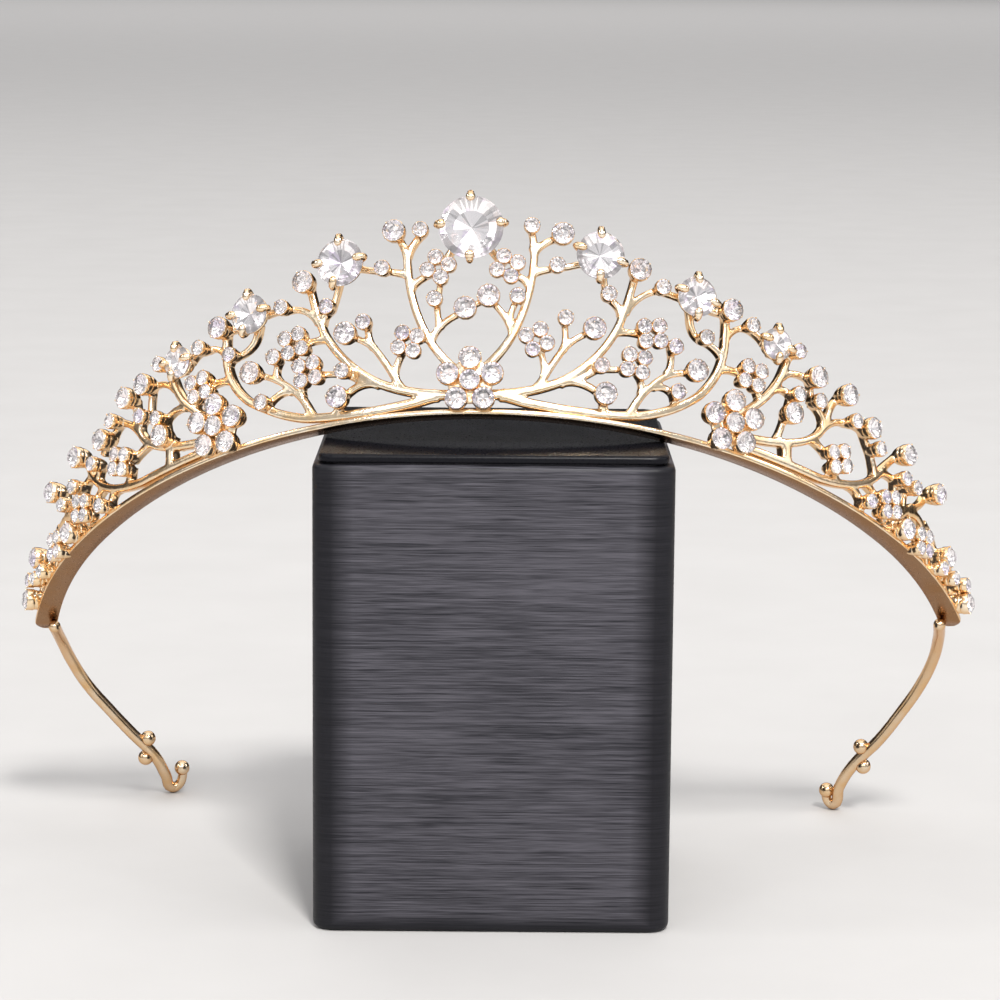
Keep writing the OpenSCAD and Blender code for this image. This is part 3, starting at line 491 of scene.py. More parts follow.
# stems: side, start, point that it bends towards, end, width at the start and at the end
stems = [
    # heart over the middle flower
    (both, 1.6, 7.4, 5.4, 10.6, 7.0, 14.0, 1.1, 1.0),
    (both, 7.0, 14.0, 9.4, 18.8, 9.8, 24.0, 1.0, 0.95),
    (both, 9.8, 24.0, 10.1, 25.8, 9.9, 27.2, 0.95, 0.9),
    (right, 9.9, 27.0, 9.9, 28.2, 9.6, 29.6, 0.9, 0.8),
    (right, 9.9, 26.4, 11.2, 28.3, 13.4, 28.6, 0.9, 0.8),
    (left, 9.9, 26.4, 9.2, 28.0, 8.0, 29.4, 0.9, 0.8),
    (left, 9.9, 26.4, 10.8, 28.2, 11.6, 29.2, 0.9, 0.8),
    (both, 9.8, 23.3, 11.8, 23.8, 13.4, 24.0, 0.9, 0.7),
    (both, 13.4, 24.0, 15.6, 24.3, 18.8, 25.4, 0.7, 0.8),
    (both, 9.3, 21.2, 8.4, 22.4, 6.4, 23.2, 0.9, 0.7),
    (right, 5.0, 24.6, 3.6, 26.4, 1.8, 28.4, 0.9, 0.9),
    (left, 4.2, 24.8, 3.2, 26.4, 1.8, 28.4, 0.9, 0.9),
    (right, 6.7, 13.4, 6.0, 16.4, 3.4, 18.4, 0.85, 0.7),
    (right, 6.2, 14.9, 6.1, 16.8, 7.1, 18.4, 0.8, 0.7),
    (right, 2.8, 19.0, 1.2, 18.6, -0.8, 17.1, 0.7, 0.7),
    (left, 6.1, 12.4, 4.6, 16.0, 1.2, 16.9, 0.85, 0.7),
    (left, 4.7, 14.4, 5.0, 16.2, 5.1, 18.2, 0.8, 0.7),
    (left, 5.1, 19.0, 4.6, 20.6, 4.8, 22.4, 0.7, 0.7),
    # stem that rises from the flower to the first crest stone
    (both, 0.6, 3.9, 9.0, 3.7, 14.5, 6.2, 1.2, 1.1),
    (both, 14.5, 6.2, 20.4, 9.4, 23.4, 15.4, 1.1, 1.0),
    (both, 23.4, 15.4, 24.8, 18.8, 25.8, 22.8, 1.0, 0.9),
    (both, 24.3, 17.4, 26.4, 20.6, 29.4, 21.1, 0.9, 0.7),
    (both, 30.0, 21.4, 31.8, 20.8, 34.2, 20.4, 0.7, 0.8),
    (both, 23.8, 17.2, 23.4, 18.6, 21.8, 19.6, 0.9, 0.7),
    (both, 21.8, 19.9, 21.0, 22.0, 20.4, 25.0, 0.7, 0.8),
    (both, 22.6, 14.2, 24.6, 14.6, 26.8, 14.1, 0.9, 0.7),
    (both, 10.6, 5.0, 12.6, 8.6, 14.6, 11.2, 0.95, 0.85),
    (both, 14.6, 11.2, 16.0, 13.0, 18.4, 13.6, 0.85, 0.7),
    (right, 14.5, 11.0, 15.2, 12.8, 14.7, 15.0, 0.8, 0.7),
    (left, 15.2, 11.8, 16.2, 13.4, 16.2, 15.2, 0.8, 0.7),
    (both, 11.7, 6.9, 11.8, 8.6, 11.0, 11.4, 0.85, 0.7),
    (both, 14.3, 6.0, 17.6, 6.8, 19.9, 4.6, 1.0, 0.8),
    (both, 16.4, 6.4, 18.2, 7.0, 19.7, 8.0, 0.9, 0.7),
    (both, 20.8, 3.4, 20.9, 2.2, 20.9, 0.8, 0.9, 1.2),
    (both, 20.2, 8.4, 22.4, 8.2, 24.4, 8.4, 0.7, 0.7),
    # lower scroll from the middle flower to the second crest stone
    (both, 5.0, 3.9, 12.4, 1.2, 20.0, 0.9, 1.2, 1.1),
    (both, 20.0, 0.9, 30.2, 0.5, 36.6, 5.2, 1.1, 1.1),
    (both, 36.6, 5.2, 40.4, 8.6, 41.0, 13.4, 1.1, 1.0),
    (both, 41.0, 13.4, 41.3, 15.8, 41.2, 18.2, 1.0, 0.9),
    (both, 24.9, 1.0, 26.6, 4.6, 28.6, 6.0, 1.0, 0.9),
    (both, 28.6, 6.0, 31.2, 8.8, 34.6, 8.6, 0.9, 0.7),
    (both, 31.2, 8.2, 32.2, 9.6, 31.5, 11.6, 0.8, 0.7),
    (both, 29.0, 6.0, 30.8, 6.4, 32.0, 5.2, 0.8, 0.7),
    (both, 32.2, 4.6, 32.4, 3.6, 32.5, 2.4, 0.7, 0.9),
    (both, 27.0, 4.9, 27.3, 6.6, 26.2, 7.9, 0.8, 0.7),
    (right, 40.8, 11.3, 39.2, 13.4, 37.2, 13.6, 0.85, 0.7),
    (right, 37.0, 14.0, 34.6, 14.8, 35.1, 19.2, 0.7, 0.9),
    (left, 41.0, 12.2, 40.4, 13.6, 39.0, 13.9, 0.85, 0.7),
    (left, 39.0, 13.9, 35.0, 15.0, 35.1, 19.2, 0.7, 0.9),
    (both, 40.3, 9.7, 42.4, 9.9, 44.2, 9.4, 0.9, 0.8),
    (both, 41.0, 14.4, 42.4, 16.6, 44.6, 16.5, 0.85, 0.7),
    (both, 44.9, 16.7, 46.4, 16.4, 48.2, 15.0, 0.7, 0.8),
    (both, 40.9, 17.6, 39.6, 18.4, 36.4, 19.8, 0.8, 0.9),
    # branch from the side flower to the third crest stone
    (both, 43.2, 2.6, 49.6, 6.0, 51.7, 10.4, 1.1, 1.0),
    (both, 51.7, 10.4, 52.4, 12.2, 53.2, 13.6, 1.0, 0.8),
    (both, 52.6, 12.6, 51.6, 13.2, 49.8, 13.9, 0.9, 0.9),
    (both, 51.6, 9.8, 53.8, 11.2, 56.4, 10.3, 0.9, 0.7),
    (right, 50.2, 7.6, 52.2, 8.0, 53.1, 7.0, 0.85, 0.7),
    (right, 53.2, 6.6, 52.8, 5.4, 52.3, 4.0, 0.7, 0.7),
    (left, 49.4, 6.3, 51.8, 6.2, 53.4, 4.4, 0.85, 0.7),
    (left, 53.6, 4.0, 53.4, 2.6, 52.8, 1.4, 0.7, 0.7),
    (both, 47.3, 5.4, 47.0, 6.8, 45.8, 8.2, 0.85, 0.7),
    (right, 57.0, 9.8, 57.4, 8.2, 57.4, 6.6, 0.7, 0.7),
    (left, 57.0, 9.8, 57.4, 8.0, 57.4, 5.4, 0.7, 0.7),
    # upper scroll of the side flower
    (both, 43.6, -0.6, 54.6, -1.8, 58.8, 1.4, 1.1, 1.0),
    (both, 58.8, 1.4, 61.0, 4.2, 64.4, 4.2, 1.0, 0.8),
    (both, 64.9, 4.1, 66.6, 4.0, 68.0, 3.2, 0.7, 0.7),
    (both, 59.9, 2.7, 60.0, 4.8, 57.8, 5.8, 0.9, 0.7),
    (both, 60.6, 3.4, 60.8, 6.0, 62.4, 7.6, 0.9, 0.8),
    (right, 49.9, -1.0, 51.0, 0.2, 51.9, 2.8, 0.9, 0.7),
    (left, 49.9, -1.0, 51.2, -0.8, 52.4, 0.4, 0.9, 0.7),
    (both, 57.4, 0.4, 59.2, -0.4, 60.4, -1.8, 0.9, 0.7),
    (both, 52.2, -1.0, 52.3, -2.6, 52.2, -4.2, 1.3, 1.3),
    # lower scroll of the side flower
    (both, 43.4, -2.2, 52.4, -4.2, 58.8, -5.7, 1.1, 1.1),
    (both, 58.8, -5.7, 68.6, -7.0, 73.0, -2.8, 1.1, 1.0),
    (both, 73.0, -2.8, 74.6, -1.2, 76.2, 0.0, 1.0, 0.8),
    (both, 71.6, -3.9, 71.4, -2.2, 70.5, -0.8, 0.9, 0.7),
    (both, 70.1, 0.2, 69.4, 1.4, 68.7, 2.4, 0.7, 0.7),
    (both, 73.0, -2.9, 74.8, -2.9, 76.4, -3.7, 0.9, 0.7),
    (right, 76.9, -3.6, 78.4, -3.8, 79.6, -4.6, 0.7, 0.7),
    (left, 75.8, -4.4, 77.8, -5.0, 79.2, -6.4, 0.7, 0.7),
    (both, 61.6, -3.4, 62.0, -4.6, 62.4, -5.8, 0.8, 1.0),
    (both, 65.6, -6.0, 67.6, -6.8, 68.0, -8.2, 0.9, 0.7),
    (both, 68.0, -9.2, 68.0, -10.4, 67.8, -11.4, 0.8, 1.0),
    (both, 69.4, -5.2, 71.4, -6.2, 72.2, -7.8, 0.9, 0.7),
    (both, 73.4, -9.6, 74.0, -11.4, 74.2, -13.0, 0.8, 1.0),
    # last scroll and the end group
    (both, 73.4, -12.9, 77.8, -8.6, 81.6, -7.6, 1.1, 1.0),
    (right, 81.6, -7.6, 84.8, -6.8, 86.4, -5.2, 1.0, 0.8),
    (left, 81.6, -7.6, 83.4, -6.4, 84.0, -4.8, 1.0, 0.8),
    (both, 79.0, -8.4, 79.2, -6.8, 79.6, -5.6, 0.9, 0.7),
    (both, 78.6, -8.6, 76.4, -6.6, 76.6, -4.4, 0.9, 0.7),
    (both, 76.2, -10.6, 76.6, -11.4, 77.0, -12.0, 0.9, 0.8),
    (both, 77.3, -12.8, 77.8, -14.0, 78.2, -15.0, 0.9, 1.1),
    (both, 80.2, -8.4, 86.6, -7.8, 86.4, -17.4, 1.1, 1.2),
    (both, 82.4, -14.2, 83.2, -15.8, 84.0, -17.0, 0.8, 1.2),
    (both, 85.4, -9.6, 88.6, -10.8, 89.9, -14.0, 1.0, 0.8),
    (right, 90.2, -14.8, 89.6, -16.6, 88.2, -17.2, 0.8, 0.8),
    (left, 91.6, -14.2, 90.6, -16.0, 88.4, -16.8, 0.8, 0.8),
    (both, 88.2, -17.1, 90.0, -18.2, 92.4, -17.6, 0.8, 0.8),
    (both, 88.3, -17.6, 88.6, -18.4, 89.0, -19.2, 0.8, 1.2),
    (right, 90.6, -14.4, 96.4, -13.6, 98.6, -17.4, 0.9, 0.8),
    (left, 91.8, -13.8, 95.4, -13.4, 97.2, -16.4, 0.9, 0.8),
    (both, 92.4, -17.8, 93.0, -19.4, 94.0, -20.8, 0.8, 1.2),
    (right, 98.8, -17.8, 99.6, -19.2, 99.4, -20.7, 0.8, 0.9),
    (left, 97.4, -16.9, 98.2, -18.4, 97.6, -20.0, 0.8, 0.9),
    (both, 98.6, -20.6, 98.8, -21.8, 99.0, -23.2, 1.2, 1.6),
]
stemLook = {
    "depth": 1.7, "leastDepth": 0.3,
    "step": 0.8,             # mm between rings
    "rootFlare": 0.45, "flareLength": 0.6,
    "widen": 1.3, "deepen": 1.12,
    "fullWidth": 1.1,        # thinner stems lie further back
    "overBand": 0.3,         # least height over the band's lower edge
    "voxel": 0.17, "softRounds": 4, "thin": 0.25,  # melting of the joints
}
# outline of a stem as shares of its width and depth: a soft flat front, straight sides, round back
stemOutline = [
    (0.0, 0.02), (0.3, 0.0), (0.44, -0.05), (0.5, -0.15), (0.5, -0.6), (0.42, -0.9), (0.22, -1.0),
    (-0.22, -1.0), (-0.42, -0.9), (-0.5, -0.6), (-0.5, -0.15), (-0.44, -0.05), (-0.3, 0.0),
]
# what stems end on: side, place, height, how near an end counts, how far from the middle it is put
carried = [(k, s, h, r + 0.5, 0) for k, s, h, r in singles]
carried += [(k, s, h, 2.7, 0.8) for k, s, h, a in clovers]
carried += [(k, s, h, 0.8 * r, 0.36 * r) for k, s, h, r in crestStones]


def reach(side, p):  # an end near a cup or a base is drawn on into it
    for k, s, h, near, keep in carried:
        d = p - Vector((s, h))
        if k != -side and d.length < near:
            return Vector((s, h)) + d * keep / max(0.01, d.length)
    return p


def stemPath(side, rows):
    points = []
    for k, s0, h0, sb, hb, s1, h1, w0, w1 in rows:
        a, b, c = reach(side, Vector((s0, h0))), Vector((sb, hb)), reach(side, Vector((s1, h1)))
        steps = max(3, ceil(((b - a).length + (c - b).length) / stemLook["step"]))
        for i in range(1 if points else 0, steps + 1):
            u = i / steps
            q = (1 - u) ** 2 * a + 2 * u * (1 - u) * b + u * u * c
            points.append((side * q.x, sideHeight(side, q.x, q.y), w0 + (w1 - w0) * u))
    return points


def stemRings(points):
    rings, run = [], [0]
    for p, q in zip(points, points[1:]):
        run.append(run[-1] + hypot(q[0] - p[0], q[1] - p[1]))
    for i, (x, y, w) in enumerate(points):
        p, q = points[max(0, i - 1)], points[min(len(points) - 1, i + 1)]
        heading = atan2(q[1] - p[1], q[0] - p[0])
        ends = min(run[i], run[-1] - run[i])
        flare = 1 + stemLook["rootFlare"] * exp(-ends / stemLook["flareLength"])
        depth = stemLook["depth"] * (stemLook["leastDepth"] + (1 - stemLook["leastDepth"]) * w)
        place = Matrix.Translation((x, y, min(0, 0.5 * (w - stemLook["fullWidth"]))))
        size = Matrix.Diagonal((1, w * flare * stemLook["widen"], depth * stemLook["deepen"], 1))
        rings.append(place @ Matrix.Rotation(heading, 4, "Z") @ size)
    return rings


chains = []  # rows that go on from one another make one stem
for row in stems:
    last = chains[-1][-1] if chains else None
    if last and last[0] == row[0] and last[5:7] == row[1:3]:
        chains[-1].append(row)
    else:
        chains.append([row])
stemWork = bmesh.new()
for rows in chains:
    for side in sidesOf(rows[0][0]):
        addTo(stemWork, sweep(stemRings(stemPath(side, rows)), stemOutline))
for v in stemWork.verts:  # no stem comes out under the band
    v.co.y = max(v.co.y, bandHeight(v.co.x) + stemLook["overBand"])
bendRound(stemWork)

# cups: a cone on the stems with a thin rim round each small stone, and four small prongs
cupLook = {
    "steps": 14, "rim": 0.08,
    "cone": [(0.6, -1.0), (0.82, -0.4), (0.97, 0.3)],  # shares of the stone's radius, and heights
    "coneFoot": -1.1, "coneTop": 0.9,
    "prongs": 4, "prong": 0.17, "prongShape": (1.0, 0.9, 1.2),
    "plate": [(0.01, -0.9), (1.9, -0.9), (3.4, 0.2), (3.6, 0.9), (0.01, 1.1)],  # under each flower
}


def makeCup(s, h, r, lift):
    g, rim, place, top = girdle(r, lift), cupLook["rim"], seat(s, h), cupLook["coneTop"] + lift
    cone = [(share * r, z) for share, z in cupLook["cone"]]
    cone = [(0.01, cupLook["coneFoot"])] + cone + [(r, top), (0.01, top)]
    addTo(stemWork, lathe(cone, cupLook["steps"], place))
    # the rim starts in the cone, goes up outside the stone, over its edge and down to the cone
    edge = [(0.93 * r, 0.7 + lift), (r + rim, 0.95 + lift), (r + rim, g - 0.08), (r - 0.02, g + 0.01),
            (r - 0.12, 1.2 + lift)]
    addTo(cupWork, lathe(edge, cupLook["steps"], place))


def makeProngs(s, h, r, lift, turn):  # small grains pressed over the stone's edge
    g = girdle(r, lift)
    for i in range(cupLook["prongs"]):
        a = turn + 2 * pi * i / cupLook["prongs"]
        spot = Matrix.Translation((0.99 * r * cos(a), 0.99 * r * sin(a), g + 0.02))
        shape = spot @ Matrix.Rotation(a, 4, "Z") @ Matrix.Diagonal((*cupLook["prongShape"], 1))
        addTo(cupWork, bead(cupLook["prong"] * (0.8 + 0.15 * r), seat(s, h) @ shape, 6, 4))


cupWork = bmesh.new()
for stones in smallStones.values():
    for i, (s, h, r, lift) in enumerate(stones):
        makeCup(s, h, r, lift)
        makeProngs(s, h, r, lift, 0.4 + 1.9 * i)  # turned differently from stone to stone
for kind, s, h, turn in flowers:
    for side in sidesOf(kind):
        addTo(stemWork, lathe(cupLook["plate"], 20, seat(side * s, sideHeight(side, s, h))))
stemWork = castTogether(stemWork, stemLook["voxel"], stemLook["softRounds"], stemLook["thin"])
print("stems and cups made")


# crest settings: two rings, slanting bars and four claws with round tips
def tube(points, radii, sides=10):
    profile = [(cos(2 * pi * k / sides), sin(2 * pi * k / sides)) for k in range(sides)]
    rings = []
    for i, p in enumerate(points):
        along = points[min(len(points) - 1, i + 1)] - points[max(0, i - 1)]
        turn = Vector((1, 0, 0)).rotation_difference(along).to_matrix().to_4x4()
        rings.append(Matrix.Translation(p) @ turn @ Matrix.Diagonal((1, radii[i], radii[i], 1)))
    return sweep(rings, profile)


def hoop(radius, z, thick, place):
    outline = [(radius + thick * cos(a), z + thick * sin(a)) for a in [2 * pi * k / 8 for k in range(9)]]
    addTo(settingWork, lathe(outline, 28, place))


clawLook = {
    "radii": [0.6, 0.56, 0.52, 0.52, 0.54, 0.56, 0.5],  # from the foot to the tip
    "tip": 0.66, "tipTilt": 14, "shortFrom": 4,         # stones larger than this have short tips
    # length, width and height of a tip as shares, and its place as a share of the stone's radius
    "longTip": (1.45, 0.98, 0.85, 0.89), "shortTip": (1.15, 1.15, 0.85, 0.93),
    "turns": {left: (8, 91, 182, 256), both: (6, 91, 176, 268), right: (342, 90, 162, 267)},  # degrees
}
basketLook = {
    # the two rings: radius as a share of the stone's, height, and half thickness
    "low": 0.46, "lowAt": -0.35, "lowThick": 0.38,
    "high": 0.86, "highAt": 0.62, "highThick": 0.28,  # this height is a share of the girdle's
    "bars": 8, "firstTurn": 8, "barFoot": -0.3, "barRadii": [0.26, 0.24, 0.26],
}
settingWork = bmesh.new()
for s, h, r in bigStones.values():
    g, place = crestGirdle(r), seat(s, h)
    for angle in clawLook["turns"][both if abs(s) < 1 else (left if s < 0 else right)]:
        turn = Matrix.Rotation(radians(angle), 4, "Z")
        # from the foot of the basket out past the stone's edge and a little over it
        line = [(0.42 * r, -0.7), (0.58 * r, 0.2), (0.82 * r, 0.6 * g), (r + 0.12, g - 0.3),
                (r + 0.34, g + 0.05 * r), (r + 0.2, g + 0.14 * r + 0.16), (0.93 * r, g + 0.16 * r + 0.26)]
        claw = tube([Vector((x, 0, z)) for x, z in line], clawLook["radii"])
        bmesh.ops.transform(claw, matrix=place @ turn, verts=claw.verts)
        addTo(settingWork, claw)
        *size, at = clawLook["shortTip" if r > clawLook["shortFrom"] else "longTip"]
        tilt = Matrix.Rotation(radians(clawLook["tipTilt"]), 4, "Y")
        tip = Matrix.Translation((at * r, 0, g + 0.17 * r + 0.26)) @ tilt @ Matrix.Diagonal((*size, 1))
        addTo(settingWork, bead(clawLook["tip"], place @ turn @ tip, 12, 8))
    low, high, highAt = basketLook["low"] * r, basketLook["high"] * r, basketLook["highAt"] * g
    hoop(low, basketLook["lowAt"], basketLook["lowThick"], place)
    hoop(high, highAt, basketLook["highThick"], place)
    apart = 360 / basketLook["bars"]
    for k in range(basketLook["bars"]):  # slanting bars between the rings, in pairs
        turn = basketLook["firstTurn"] + apart * k
        a, b = radians(turn), radians(turn + apart / 2)
        foot = Vector((low * cos(b), low * sin(b), basketLook["barFoot"]))
        for c in (a, a + radians(apart)):
            head = Vector((high * cos(c), high * sin(c), highAt))
            bar = tube([foot, (foot + head) / 2, head], basketLook["barRadii"], 6)
            bmesh.ops.transform(bar, matrix=place, verts=bar.verts)
            addTo(settingWork, bar)
print("crest settings made")

# band, with round ends
bandLook = {
    "thick": 0.95, "depth": 3.6, "out": 0.15, "halfLength": 101.0, "rings": 150,
    "tipRings": 6, "tipLength": 1.5, "tipDepth": 0.3, "tipThin": 0.25,  # the last two as shares
}
bandOutline = [
    (-0.3, 0.0), (-0.42, -0.02), (-0.5, -0.06), (-0.5, -0.94), (-0.42, -0.98), (-0.3, -1.0),
    (0.3, -1.0), (0.42, -0.98), (0.5, -0.94), (0.5, -0.06), (0.42, -0.02), (0.3, 0.0),
]


def bandRing(s, front, depth, thick=1.0):
    heading = atan2(bandHeight(s + 0.1) - bandHeight(s - 0.1), 0.2)
    place = Matrix.Translation((s, bandHeight(s) + bandLook["thick"] / 2, front))
    size = Matrix.Diagonal((1, bandLook["thick"] * thick, depth, 1))
    return place @ Matrix.Rotation(heading, 4, "Z") @ size


full, halfLength = bandLook["depth"] + bandLook["out"], bandLook["halfLength"]
rings = [bandRing(halfLength * (2 * i / bandLook["rings"] - 1), bandLook["out"], full)
         for i in range(bandLook["rings"] + 1)]
for i in range(1, bandLook["tipRings"] + 1):  # the ends narrow to a round tip
    u = i / bandLook["tipRings"]
    depth = full * max(bandLook["tipDepth"], (1 - u * u) ** 0.5)
    front = bandLook["out"] - (full - depth) / 2
    end, thick = halfLength + bandLook["tipLength"] * u, 1 - bandLook["tipThin"] * u
    rings.append(bandRing(end, front, depth, thick))
    rings.insert(0, bandRing(-end, front, depth, thick))
bandWork = sweep(rings, bandOutline)
for face in bandWork.faces:
    if face.normal.y < -0.6:  # the underside, which takes the gold with painted shade
        face.material_index = 1
bendRound(bandWork)
print("band made")

# side wires: distance from the middle on the left and on the right, distance back, height
wireRoute = [
    (74.4, 74.4, 53.0, -24.8),
    (74.6, 74.6, 60.0, -26.2),
    (74.0, 74.0, 66.0, -28.8),
    (72.2, 72.0, 71.4, -32.4),
    (69.0, 68.8, 76.2, -36.4),
    (65.7, 65.3, 80.6, -40.2),
    (62.4, 61.0, 84.8, -43.8),
    (61.0, 58.6, 88.6, -47.0),
    (60.2, 57.7, 91.2, -49.2),
]
crook = [(1.1, 0.3, 0.4), (1.8, 0.2, 1.9), (1.8, -0.1, 3.6)]  # inwards, back, up
wireLook = {
    "thick": 2.0, "upperEnd": 0.52, "crookThick": 0.85,  # the last two as shares of the first
    "leftCrook": 1.0, "rightCrook": 0.7, "tableGap": 0.05,
    "ball": 1.35, "pairAt": 0.35, "pairApart": (0.3, 0.6, -1.9),
}
wireWork = bmesh.new()
for side, size in ((left, wireLook["leftCrook"]), (right, wireLook["rightCrook"])):
    path = [pose @ Vector((side * (x if side == left else other), y, z)) for x, other, y, z in wireRoute]
    lift, n = wireLook["thick"] / 2 + wireLook["tableGap"] - path[-1].z, len(path)
    path = [p + Vector((0, 0, lift * (i / (n - 1)) ** 2)) for i, p in enumerate(path)]
    pair = path[n - 4] * wireLook["pairAt"] + path[n - 3] * (1 - wireLook["pairAt"])
    path += [path[-1] + size * Vector((-side * x, y, z)) for x, y, z in crook]
    drawn = bpy.data.curves.new("wire", "CURVE")
    drawn.dimensions = "3D"
    drawn.bevel_depth, drawn.bevel_resolution = wireLook["thick"] / 2, 3
    drawn.resolution_u, drawn.use_fill_caps = 5, True
    spline = drawn.splines.new("BEZIER")
    spline.bezier_points.add(len(path) - 1)
    for i, (point, p) in enumerate(zip(spline.bezier_points, path)):
        point.co, point.handle_left_type, point.handle_right_type = p, "AUTO", "AUTO"
        point.radius = 1.0 if i < n else wireLook["crookThick"]
    holder = bpy.data.objects.new("wire", drawn)
    bpy.context.scene.collection.objects.link(holder)
    mesh = bpy.data.meshes.new_from_object(holder.evaluated_get(bpy.context.evaluated_depsgraph_get()))
    wireWork.from_mesh(mesh)
    bpy.data.objects.remove(holder)
    bpy.data.meshes.remove(mesh)
    bpy.data.curves.remove(drawn)
    x, y, z = wireLook["pairApart"]
    for p in (path[-1], pair + Vector((side * x, y, z)), pair - Vector((side * x, y, z))):
        addTo(wireWork, bead(wireLook["ball"], Matrix.Translation(p), 24, 16))
    addTo(wireWork, bead(wireLook["upperEnd"] * wireLook["thick"], Matrix.Translation(path[0]), 20, 12))
bmesh.ops.remove_doubles(wireWork, verts=wireWork.verts, dist=0.001)
bmesh.ops.recalc_face_normals(wireWork, faces=wireWork.faces)
print("side wires made")

finish(stemWork, "stems", [castGold], node="tiara_frame")
finish(cupWork, "stoneCups", [castGold], node="tiara_frame", angle=50)
finish(settingWork, "crestSettings", [castGold], node="tiara_frame", angle=60)
finish(bandWork, "headBand", [castGold, paintedShadeGold], node="tiara_frame", angle=40)
finish(wireWork, "sideWires", [wireGold], node="tiara_frame", angle=60)

# cut stones: rings of corners as count, radius and height in shares of the stone's, and turn in degrees
smallCut = [(8, 0.55, 0.38, 22.5), (16, 1.0, 0.0, 0.0), (16, 0.5, -0.40, 11.25), (1, 0.0, -0.66, 0.0)]
largeCut = [(16, 0.8, 0.15, 11.25), (32, 1.0, 0.02, 0.0), (32, 1.0, -0.02, 0.0), (32, 0.55, -0.16, 5.6),
            (1, 0.0, -0.27, 0.0)]
facets = random.Random(11)  # picks the foil behind each facet; the darker foils paint dark reflections into the sparkle


def cutStone(r, cut, matrix):
    bm = bmesh.new()
    for count, radius, z, turn in cut:
        if count == 1:
            bm.verts.new((0, 0, z * r))
            continue
        place = Matrix.Translation((0, 0, z * r)) @ Matrix.Rotation(radians(turn), 4, "Z")
        bmesh.ops.create_circle(bm, segments=count, radius=radius * r, matrix=place)
    bmesh.ops.convex_hull(bm, input=bm.verts[:])
    bmesh.ops.dissolve_limit(bm, angle_limit=radians(0.5), verts=bm.verts, edges=bm.edges)
    bmesh.ops.recalc_face_normals(bm, faces=bm.faces)
    for face in bm.faces:
        if face.normal.z < -0.1:  # foil behind the glass, darker on some facets as painted dark reflections
            face.material_index = facets.choice((1, 1, 2, 3))
    bmesh.ops.transform(bm, matrix=matrix, verts=bm.verts)
    return bm


for name, stones in smallStones.items():
    work = bmesh.new()
    for i, (s, h, r, lift) in enumerate(stones):
        turn = Matrix.Rotation(0.7 * i, 4, "Z")
        addTo(work, cutStone(r, smallCut, seat(s, h, girdle(r, lift)) @ turn))
    finish(work, name + "_cut", [crystal] + foils, smooth=False, node=name)
for name, (s, h, r) in bigStones.items():
    work = cutStone(r, largeCut, seat(s, h, crestGirdle(r)))
    finish(work, name + "_cut", [crestCrystal] + crestFoils, smooth=False, node=name)

# display block: a wrapped body and a thin lid with a rolled edge
block = {
    "width": 55.0, "height": 74.2, "corner": 3.4, "foot": 1.1, "bodyRoll": 0.8,
    "seamDrop": 1.5, "seamGap": 0.28, "roll": 0.7, "lidIn": 0.9, "lidFootRoll": 0.35,
    "coreDown": 1.5, "coreUp": 0.8, "coreIn": 0.6,  # plug that closes the seam from inside
}
wrapLook = {
    "dark": (0.016, 0.016, 0.020), "light": (0.077, 0.074, 0.087), "toneStops": (0.36, 0.64),
    "streakSize": (90, 90, 4400), "patchSize": (40, 40, 60), "mix": (0.8, 0.2),  # shares of these two
    "sheen": (0.36, 0.52), "bump": 0.00006,
    # painted shade: the wrap is painted nearly black in the corners and at the foot: how far, and from where
    # to where in metres
    "fade": 0.88, "cornerPaintedShade": (0.0212, 0.0246), "footPaintedShade": (0.0011, 0.0030),
    "lid": (0.006, 0.006, 0.008), "lidSheen": (0.24, 0.36),
    "lidGrain": (2400, 2400, 2400), "lidBump": 0.00002,
}
wrap, nodes, links, shader = newMaterial("brushedWrap", Roughness=0.4)
shader.inputs["Specular IOR Level"].default_value = 0.15


def wrapMath(kind, *values):  # sockets or plain numbers
    node = nodes.new("ShaderNodeMath")
    node.operation = kind
    for socket, value in zip(node.inputs, values):
        if isinstance(value, float):
            socket.default_value = value
        else:
            links.new(value, socket)
    return node.outputs[0]


streaks = objectNoise(nodes, links, wrapLook["streakSize"], 2.0, 0.8)
patches = objectNoise(nodes, links, wrapLook["patchSize"], 2.0)
streakShare, patchShare = wrapLook["mix"]
brushed = wrapMath("MULTIPLY_ADD", streaks, streakShare, wrapMath("MULTIPLY", patches, patchShare))
tone = ramp(nodes, links, brushed, list(zip(wrapLook["toneStops"], (wrapLook["dark"], wrapLook["light"]))))
spot = nodes.new("ShaderNodeTexCoord")
axes = nodes.new("ShaderNodeSeparateXYZ")
links.new(spot.outputs["Object"], axes.inputs["Vector"])
x, y, z = (axes.outputs[word] for word in "XYZ")
# painted shade: the rounded corners and the foot are mixed towards the lid's black
inward = wrapMath("MINIMUM", wrapMath("ABSOLUTE", x), wrapMath("ABSOLUTE", y))
dark = wrapMath("MAXIMUM", remap(nodes, links, inward, 0.0, wrapLook["fade"], *wrapLook["cornerPaintedShade"]),
                remap(nodes, links, z, wrapLook["fade"], 0.0, *wrapLook["footPaintedShade"]))
mixColours(nodes, links, shader, dark, tone, wrapLook["lid"])
links.new(remap(nodes, links, streaks, *wrapLook["sheen"]), shader.inputs["Roughness"])
addBump(nodes, links, shader, streaks, 0.6, wrapLook["bump"])

lidWrap, nodes, links, shader = newMaterial("smoothWrap", Roughness=0.3)
shader.inputs["Specular IOR Level"].default_value = 0.1
shader.inputs["Base Color"].default_value = (*wrapLook["lid"], 1)
grain = objectNoise(nodes, links, wrapLook["lidGrain"], 2.0)
links.new(remap(nodes, links, grain, *wrapLook["lidSheen"]), shader.inputs["Roughness"])
addBump(nodes, links, shader, grain, 0.5, wrapLook["lidBump"])


